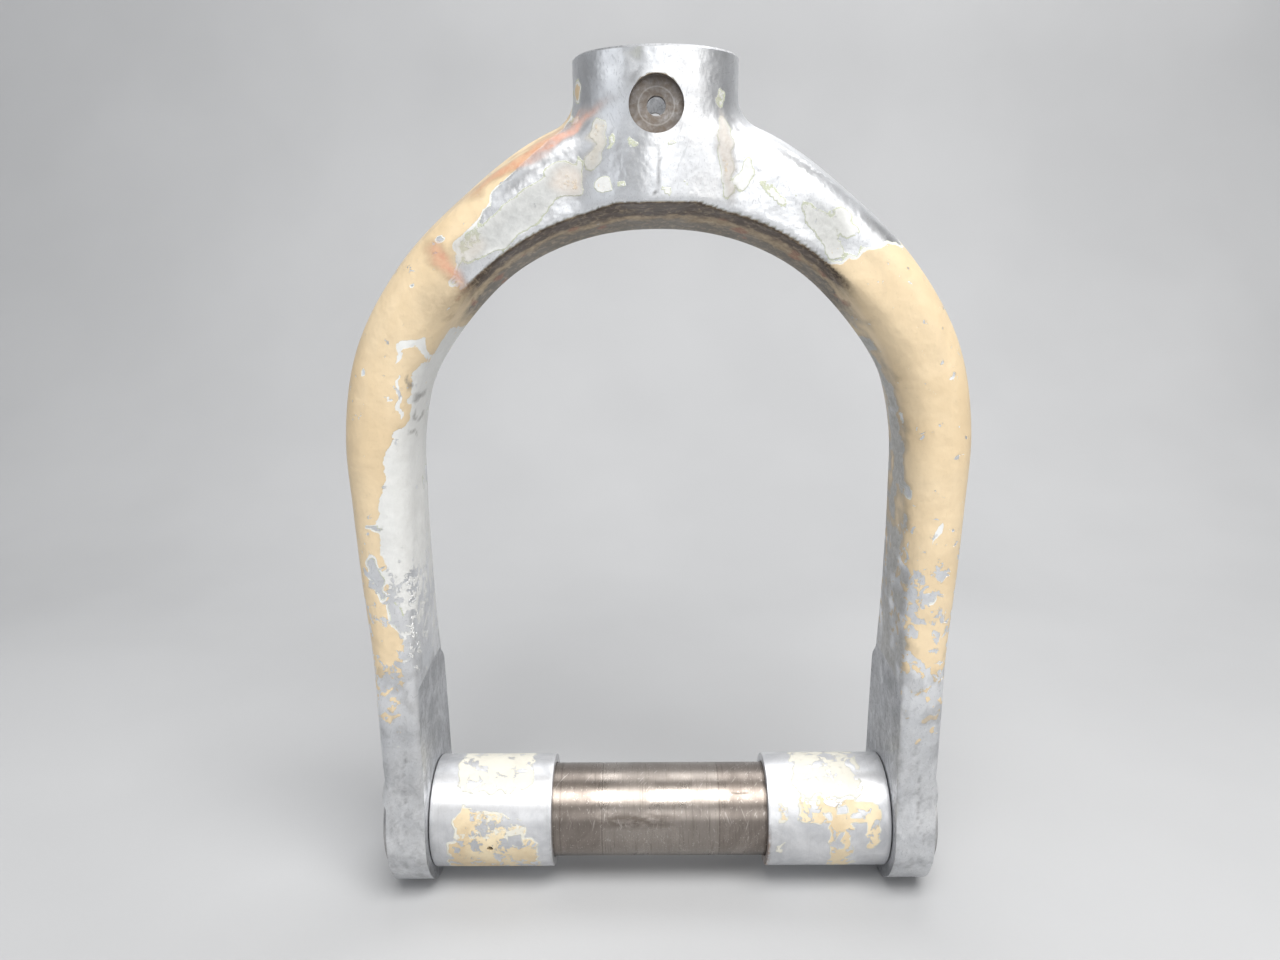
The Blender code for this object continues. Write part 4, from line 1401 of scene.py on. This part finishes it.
# %% Grime group
grime, given, result = new_group(
    "grime",
    [
        ("Vector", "NodeSocketVector", None), ("Color", "NodeSocketColor", (0.5, 0.5, 0.5, 1)),
        ("Dirt", "NodeSocketColor", (0.05, 0.04, 0.03, 1)), ("Amount", "NodeSocketFloat", 0.3),
    ],
    [("Color", "NodeSocketColor"), ("Mask", "NodeSocketFloat")],
)
blotch = step_between(grime, noise(grime, given["Vector"], 70.0, 6.0, 0.65, 0.8), 0.45, 0.75)
speck = step_between(grime, noise(grime, given["Vector"], 900.0, 3.0, 0.6), 0.60, 0.72)
both = maths(grime, "ADD", maths(grime, "MULTIPLY", blotch, 0.7), maths(grime, "MULTIPLY", speck, 0.5))
both = maths(grime, "MULTIPLY", both, given["Amount"])
both = held(grime, both)
grime.links.new(mixed(grime, both, given["Color"], given["Dirt"]), result["Color"])
grime.links.new(both, result["Mask"])
print("grime group", len(grime.nodes), "nodes")

# %% [markdown]
# ## Starting a material
#
# On the real fork each finish is its own coat or cut, but all of them share the same scratches,
# tone and dirt. So each material starts alike, takes the shared groups with its own values, and
# ends by feeding the same four inputs of the main shader.

# %% Helpers for materials
def start_material(material, specular):
    """The material's tree, its main shader, and places on the piece."""
    material.use_nodes = True
    tree = material.node_tree
    tree.nodes.clear()
    shader = put(tree, "ShaderNodeBsdfPrincipled", {"Specular IOR Level": specular})
    put(tree, "ShaderNodeOutputMaterial", {"Surface": shader.outputs[0]})
    return tree, shader, put(tree, "ShaderNodeTexCoord").outputs["Object"]


def stored(tree, name, socket="Fac"):
    return put(tree, "ShaderNodeAttribute", attribute_name=name).outputs[socket]


def raised(tree, height, distance, strength, under=None):
    """A bump from a height, over another bump if one is given."""
    values = {"Height": height, "Distance": distance, "Strength": strength}
    if under is not None:
        values["Normal"] = under
    return put(tree, "ShaderNodeBump", values).outputs["Normal"]


def clouded(tree, place, light, dark, scale, smooth, rough):
    """The shared metal tone, with a material's own colours and gloss."""
    values = {"Vector": place, "Light": light, "Dark": dark, "Scale": scale}
    return use(tree, metal_tone, {**values, "Smooth": smooth, "Rough": rough})


def scratched(tree, place, scale, amount):
    return use(tree, scratches, {"Vector": place, "Scale": scale, "Amount": amount})


def soil(tree, place, colour, dirt, amount):
    return use(tree, grime, {"Vector": place, "Color": colour, "Dirt": dirt, "Amount": amount})


def feed(tree, shader, colour, metal, gloss, relief):
    fill(tree, shader, {"Base Color": colour, "Metallic": metal, "Roughness": gloss, "Normal": relief})


def cover(pieces, material):
    """Gives pieces one material, in place of any they have."""
    for piece in pieces:
        piece.data.materials.clear()
        piece.data.materials.append(material)


print("shared groups", [group.name for group in (scratches, metal_tone, paint_layers, grime)])

# %% [markdown]
# ## The fork's skin
#
# This is the finish that most of the looks rest on: tan paint with an uneven, slightly
# dimpled face where it is left, and hand-sanded alloy where it is gone. The paint is a plain
# surface and the alloy a metal, so one mask from the paint group switches between them.

# %% Fork skin
SANDING_GREY = (0.46, 0.47, 0.49, 1)
FORK_DIRT = (0.16, 0.13, 0.10, 1)
TAN_PAINT = (0.745, 0.600, 0.400, 1)
TAN_PAINT_OLD = (0.670, 0.525, 0.335, 1)
WHITE_COAT = (0.75, 0.755, 0.74, 1)
GREEN_PRIMER = (0.58, 0.61, 0.47, 1)
ALLOY_LIGHT = (0.87, 0.88, 0.895, 1)
ALLOY_DARK = (0.72, 0.735, 0.76, 1)

tree, shader, place = start_material(fork_skin, 0.45)
alloy = clouded(tree, place, ALLOY_LIGHT, ALLOY_DARK, 55.0, 0.30, 0.47)
marks = scratched(tree, place, 1.3, 0.56)
alloy_colour = tinged(tree, marks["Mask"], 0.40, alloy["Color"], SANDING_GREY)
old = step_between(tree, noise(tree, place, 26.0, 4.0, 0.6, 0.4), 0.40, 0.66)
topcoat = mixed(tree, old, TAN_PAINT, TAN_PAINT_OLD)
coats = use(tree, paint_layers, {
    "Vector": place, "Wear": stored(tree, "wear"), "Chips": stored(tree, "chips"), "Flake Scale": 230.0,
    "Topcoat": topcoat, "Undercoat": WHITE_COAT, "Primer": GREEN_PRIMER, "Metal": alloy_colour,
})
# The stored tint lays stains, patches of colour and painted shade (under the arch and on the right arm's
# inner facet) over the coats, with ragged rims.
ragged = noise(tree, place, 420.0, 6.0, 0.7, 0.6)
tint_mask = maths(tree, "MULTIPLY_ADD", ragged, 1.6, -0.8)
tint_strength = stored(tree, "tint", "Alpha")
tint_mask = maths(tree, "MULTIPLY_ADD", tint_mask, tint_strength, tint_strength)
tint_mask = held(tree, tint_mask)
colour = mixed(tree, tint_mask, coats["Color"], stored(tree, "tint", "Color"))
soiled = soil(tree, place, colour, FORK_DIRT, 0.16)
metal = maths(tree, "MULTIPLY", coats["Bare"], maths(tree, "MULTIPLY_ADD", tint_mask, -0.85, 0.92))
paint_gloss = step_between(tree, noise(tree, place, 45.0, 4.0), 0.35, 0.65, 0.34, 0.52)
alloy_gloss = maths(tree, "MULTIPLY_ADD", marks["Mask"], 0.14, alloy["Roughness"])
gloss = step_between(tree, metal, 0.0, 1.0, paint_gloss, alloy_gloss)
dimples = noise(tree, place, 330.0, 2.0, 0.5)
relief = raised(tree, dimples, 0.00028, 0.42)
relief = raised(tree, noise(tree, place, 75.0, 3.0, 0.55), 0.0018, 0.50, relief)
relief = raised(tree, marks["Lines"], 0.00016, 0.35, relief)
relief = raised(tree, coats["Height"], 0.00030, 0.70, relief)
feed(tree, shader, soiled["Color"], metal, gloss, relief)
print("fork skin", len(tree.nodes), "nodes")

# %% [markdown]
# ## Machined faces of the fork
#
# The bores, pads, foot faces and rim were cut and then handled for years. They are bare, a
# little darker than the sanded crown, with crossing scratches. The floor of the cross hole's
# seat has a brown film, and a ring where a washer turned. That ring is drawn from the distance
# to the hole's axis, since it follows the hole and nothing else.

# %% Machined alloy
CUT_LIGHT = (0.62, 0.63, 0.65, 1)
CUT_DARK = (0.45, 0.46, 0.48, 1)
CUT_MARKS = (0.24, 0.245, 0.26, 1)
CUT_DIRT = (0.10, 0.08, 0.06, 1)
SEAT_BROWN = (0.20, 0.165, 0.135, 1)
SEAT_RING = (0.42, 0.40, 0.375, 1)
SEAT_REACH = 0.0096
RING_RADIUS = 0.0060
RING_HALF = 0.0004

tree, shader, place = start_material(fork_cut, 0.5)
alloy = clouded(tree, place, CUT_LIGHT, CUT_DARK, 90.0, 0.34, 0.52)
marks = scratched(tree, place, 0.8, 0.75)
colour = tinged(tree, marks["Mask"], 0.45, alloy["Color"], CUT_MARKS)
parts = put(tree, "ShaderNodeSeparateXYZ", {0: place}).outputs
over_hole = maths(tree, "SUBTRACT", parts["Z"], CROSS_HOLE_Z)
squares = maths(tree, "MULTIPLY_ADD", parts["X"], parts["X"], maths(tree, "MULTIPLY", over_hole, over_hole))
from_hole = maths(tree, "SQRT", squares)
seat = step_between(tree, from_hole, SEAT_REACH, SEAT_REACH - 0.0002)
from_middle = maths(tree, "ABSOLUTE", parts["Y"])
outside = step_between(tree, from_middle, SOCKET_RADIUS + 0.0008, SOCKET_RADIUS + 0.0014)
seat = maths(tree, "MULTIPLY", seat, outside)
ring = maths(tree, "ABSOLUTE", maths(tree, "SUBTRACT", from_hole, RING_RADIUS))
ring = step_between(tree, ring, RING_HALF, 0.0)
film = noise(tree, place, 380.0, 5.0, 0.65, 0.5)
film_mask = maths(tree, "MULTIPLY", seat, step_between(tree, film, 0.30, 0.60, 0.55, 1.0))
seat_colour = tinged(tree, ring, 0.7, SEAT_BROWN, SEAT_RING)
colour = mixed(tree, film_mask, colour, seat_colour)
soiled = soil(tree, place, colour, CUT_DIRT, 0.35)
metal = maths(tree, "MULTIPLY_ADD", film_mask, -0.5, 0.92)
gloss = maths(tree, "MULTIPLY_ADD", soiled["Mask"], 0.25, alloy["Roughness"])
relief = raised(tree, marks["Lines"], 0.00022, 0.5)
feed(tree, shader, soiled["Color"], metal, gloss, relief)
print("machined alloy", len(tree.nodes), "nodes")

# %% [markdown]
# ## The tube's polish
#
# Wheel bearings and sleeves have most likely turned on the tube for years. It has fine lines
# round it, darker bands beside the sleeves, and one long smudge. A noise read only along the tube
# gives the lines, because then the value is the same all the way round.

# %% Tube steel
MIDDLE_STEEL = (0.46, 0.425, 0.39, 1)
HAIRLINE = (0.13, 0.108, 0.092, 1)
TURNED_LINE = (0.11, 0.088, 0.072, 1)
SMUDGE = (0.13, 0.105, 0.088, 1)
STEEL_MARKS = (0.72, 0.68, 0.64, 1)
STEEL_DIRT = (0.09, 0.07, 0.055, 1)
STEEL_LIGHT = (0.31, 0.272, 0.243, 1)
STEEL_DARK = (0.20, 0.172, 0.152, 1)
STEP_PLACES = (-0.0240, 0.0248)
STEP_BLUR = 0.0002
SLEEVE_BAND_REACH = 0.0055

tube_steel = bpy.data.materials.new("polished_axle_steel")
tree, shader, place = start_material(tube_steel, 0.5)
parts = put(tree, "ShaderNodeSeparateXYZ", {0: place}).outputs
steel = clouded(tree, stretched(tree, place, (1.0, 0.4, 0.4)), STEEL_LIGHT, STEEL_DARK, 60.0, 0.20, 0.32)
along = put(tree, "ShaderNodeCombineXYZ", {"X": parts["X"]}).outputs[0]
turning = noise(tree, along, 2600.0, 4.0, 0.7)
wide_lines = noise(tree, along, 420.0, 3.0, 0.6)
line_mask = step_between(tree, wide_lines, 0.56, 0.66)
# Darker turned lines in a band beside each sleeve end, all round the tube.
beside_sleeve = maths(tree, "ABSOLUTE", parts["X"])
beside_sleeve = step_between(tree, beside_sleeve, SLEEVE_INNER_X - SLEEVE_BAND_REACH, SLEEVE_INNER_X - 0.001)
fine = step_between(tree, turning, 0.50, 0.62)
line_mask = maths(tree, "MULTIPLY", line_mask, maths(tree, "MULTIPLY_ADD", beside_sleeve, 0.55, 0.16))
line_mask = maths(tree, "MULTIPLY_ADD", maths(tree, "MULTIPLY", fine, beside_sleeve), 0.45, line_mask)
for step in STEP_PLACES:
    near = maths(tree, "ABSOLUTE", maths(tree, "SUBTRACT", parts["X"], step))
    line_mask = maths(tree, "MAXIMUM", line_mask, step_between(tree, near, 0.0004, 0.0001, 0.0, 0.5))
middle = maths(tree, "ABSOLUTE", parts["X"])
middle = step_between(tree, middle, STEP_PLACES[1] + STEP_BLUR, STEP_PLACES[1] - STEP_BLUR)
paler = tinged(tree, middle, 0.28, steel["Color"], MIDDLE_STEEL)
hair = noise(tree, stretched(tree, place, (1.0, 0.06, 0.06)), 1500.0, 3.0, 0.7)
hair = step_between(tree, hair, 0.55, 0.68)
paler = tinged(tree, hair, 0.45, paler, HAIRLINE)
colour = mixed(tree, line_mask, paler, TURNED_LINE)
tint_mask = stored(tree, "tint_mask")
ragged = noise(tree, stretched(tree, place, (1.0, 2.5, 2.5)), 180.0, 5.0, 0.65)
tint_mask = maths(tree, "MULTIPLY", tint_mask, step_between(tree, ragged, 0.38, 0.56))
colour = mixed(tree, tint_mask, colour, SMUDGE)
marks = scratched(tree, place, 1.1, 0.50)
colour = tinged(tree, marks["Mask"], 0.30, colour, STEEL_MARKS)
soiled = soil(tree, place, colour, STEEL_DIRT, 0.18)
gloss = maths(tree, "MULTIPLY_ADD", turning, 0.10, steel["Roughness"])
gloss = maths(tree, "MULTIPLY_ADD", tint_mask, 0.12, gloss)
relief = raised(tree, turning, 0.00004, 0.6)
relief = raised(tree, marks["Lines"], 0.00006, 0.3, relief)
metal = maths(tree, "MULTIPLY_ADD", tint_mask, -0.25, 0.97)
feed(tree, shader, soiled["Color"], metal, gloss, relief)
cover([tube], tube_steel)
print("tube steel", len(tree.nodes), "nodes")

# %% [markdown]
# ## The sleeves' finish
#
# The sleeves look as if they were painted in place, with the paint since rubbed and scraped off
# in patches. They use the same layered paint as the fork, over turned aluminium with fine lines round it.

# %% Sleeve aluminium
PAINT_GLOSS = 0.46
SLEEVE_LINE = (0.42, 0.42, 0.43, 1)
SLEEVE_TAN = (0.78, 0.66, 0.455, 1)
SLEEVE_TAN_OLD = (0.64, 0.51, 0.33, 1)
SLEEVE_WHITE = (0.70, 0.68, 0.60, 1)
SLEEVE_PRIMER = (0.60, 0.60, 0.54, 1)
SLEEVE_DIRT = (0.18, 0.15, 0.12, 1)
SLEEVE_LIGHT = (0.76, 0.765, 0.78, 1)
SLEEVE_DARK = (0.56, 0.57, 0.59, 1)

sleeve_aluminium = bpy.data.materials.new("painted_sleeve_aluminium")
tree, shader, place = start_material(sleeve_aluminium, 0.45)
parts = put(tree, "ShaderNodeSeparateXYZ", {0: place}).outputs
along = put(tree, "ShaderNodeCombineXYZ", {"X": parts["X"]}).outputs[0]
turning = noise(tree, along, 1500.0, 4.0, 0.7)
alloy = clouded(tree, place, SLEEVE_LIGHT, SLEEVE_DARK, 80.0, 0.34, 0.48)
fine = step_between(tree, turning, 0.54, 0.70, 0.0, 0.30)
alloy_colour = mixed(tree, fine, alloy["Color"], SLEEVE_LINE)
old = step_between(tree, noise(tree, place, 60.0, 4.0, 0.6), 0.40, 0.62)
topcoat = mixed(tree, old, SLEEVE_TAN, SLEEVE_TAN_OLD)
coats = use(tree, paint_layers, {
    "Vector": place, "Wear": stored(tree, "wear"), "Chips": stored(tree, "chips"), "Flake Scale": 200.0,
    "Topcoat": topcoat, "Undercoat": SLEEVE_WHITE, "Primer": SLEEVE_PRIMER,
    "Metal": alloy_colour,
})
tint_mask = held(tree, stored(tree, "tint", "Alpha"))
ragged = step_between(tree, noise(tree, place, 500.0, 5.0, 0.7), 0.35, 0.55)
tint_mask = maths(tree, "MULTIPLY", tint_mask, ragged)
colour = mixed(tree, tint_mask, coats["Color"], stored(tree, "tint", "Color"))
soiled = soil(tree, place, colour, SLEEVE_DIRT, 0.20)
metal = maths(tree, "MULTIPLY", coats["Bare"], maths(tree, "MULTIPLY_ADD", tint_mask, -0.8, 0.85))
gloss = step_between(tree, metal, 0.0, 1.0, PAINT_GLOSS, alloy["Roughness"])
relief = raised(tree, turning, 0.00005, 0.5)
relief = raised(tree, coats["Height"], 0.00030, 0.8, relief)
feed(tree, shader, soiled["Color"], metal, gloss, relief)
cover(sleeves.values(), sleeve_aluminium)
print("sleeve aluminium", len(tree.nodes), "nodes")

# %% [markdown]
# ## The cups' steel
#
# The cups are most likely turned steel, dull and a little stained inside. The lathe's lines run
# round their axis, so a noise is read from the distance to that axis and the place along it.

# %% Cup steel
CUP_LIGHT = (0.54, 0.54, 0.55, 1)
CUP_DARK = (0.36, 0.355, 0.35, 1)
CUP_LINE = (0.24, 0.22, 0.20, 1)
CUP_MARKS = (0.70, 0.70, 0.70, 1)
CUP_DIRT = (0.07, 0.05, 0.035, 1)

cup_steel = bpy.data.materials.new("turned_cup_steel")
tree, shader, place = start_material(cup_steel, 0.5)
steel = clouded(tree, place, CUP_LIGHT, CUP_DARK, 110.0, 0.28, 0.46)
parts = put(tree, "ShaderNodeSeparateXYZ", {0: place}).outputs
over = maths(tree, "SUBTRACT", parts["Z"], AXLE_Z)
squares = maths(tree, "MULTIPLY_ADD", parts["Y"], parts["Y"], maths(tree, "MULTIPLY", over, over))
from_axis = maths(tree, "SQRT", squares)
from_axis = put(tree, "ShaderNodeCombineXYZ", {"X": from_axis, "Y": parts["X"]}).outputs[0]
turning = noise(tree, from_axis, 1300.0, 4.0, 0.65)
fine = step_between(tree, turning, 0.52, 0.66, 0.0, 0.4)
marks = scratched(tree, place, 1.0, 0.60)
colour = mixed(tree, fine, steel["Color"], CUP_LINE)
colour = tinged(tree, marks["Mask"], 0.35, colour, CUP_MARKS)
soiled = soil(tree, place, colour, CUP_DIRT, 0.55)
gloss = maths(tree, "MULTIPLY_ADD", soiled["Mask"], 0.30, steel["Roughness"])
metal = maths(tree, "MULTIPLY_ADD", soiled["Mask"], -0.5, 0.96)
relief = raised(tree, turning, 0.00006, 0.6)
relief = raised(tree, marks["Lines"], 0.00010, 0.35, relief)
feed(tree, shader, soiled["Color"], metal, gloss, relief)
cover(cups, cup_steel)
print("cup steel", len(tree.nodes), "nodes")

# %% [markdown]
# ## Plated hardware
#
# Stud, washers, nuts and pins of this kind are plated, with a faint warm cast that wears off
# and darkens with oil. They are hidden or nearly so, and a tone, scratches and grime are enough.

# %% Plated steel
PLATE_LIGHT = (0.66, 0.60, 0.46, 1)
PLATE_DARK = (0.47, 0.42, 0.33, 1)
PLATE_MARKS = (0.72, 0.72, 0.71, 1)
PLATE_DIRT = (0.08, 0.06, 0.04, 1)

plated = bpy.data.materials.new("worn_plated_steel")
tree, shader, place = start_material(plated, 0.5)
steel = clouded(tree, place, PLATE_LIGHT, PLATE_DARK, 190.0, 0.30, 0.50)
marks = scratched(tree, place, 1.6, 0.65)
colour = tinged(tree, marks["Mask"], 0.5, steel["Color"], PLATE_MARKS)
soiled = soil(tree, place, colour, PLATE_DIRT, 0.60)
gloss = maths(tree, "MULTIPLY_ADD", soiled["Mask"], 0.30, steel["Roughness"])
metal = maths(tree, "MULTIPLY_ADD", soiled["Mask"], -0.6, 0.95)
relief = raised(tree, marks["Lines"], 0.00010, 0.4)
relief = raised(tree, noise(tree, place, 1500.0, 3.0), 0.00004, 0.4, relief)
feed(tree, shader, soiled["Color"], metal, gloss, relief)
cover([stud] + nuts + pins + washers, plated)
print("plated steel", len(tree.nodes), "nodes")

# %% [markdown]
# ## Floor
#
# Matt studio paper: nearly one pale tone, with just enough unevenness to look like a surface.

# %% Floor paper
PAPER_DARK = (0.47, 0.475, 0.485, 1)
PAPER_LIGHT = (0.50, 0.505, 0.515, 1)

paper = bpy.data.materials.new("pale_studio_paper")
tree, shader, place = start_material(paper, 0.2)
grain = noise(tree, place, 500.0, 4.0, 0.6)
cloud = step_between(tree, noise(tree, place, 5.0, 3.0), 0.35, 0.65)
colour = mixed(tree, cloud, PAPER_DARK, PAPER_LIGHT)
gloss = step_between(tree, grain, 0.3, 0.7, 0.72, 0.90)
feed(tree, shader, colour, 0.0, gloss, raised(tree, grain, 0.0002, 0.25))
cover([floor], paper)
print("floor paper", len(tree.nodes), "nodes")

# %% [markdown]
# ## Sizes and the end
#
# The looks should fill the engineering model's box without passing it. The number of faces
# shows that the fork is not needlessly heavy.

# %% Sizes
print("fork faces", sum(len(f.vertices) - 2 for f in fork.data.polygons), "as triangles")
print("cut faces", sum(f.material_index == 1 for f in fork.data.polygons))
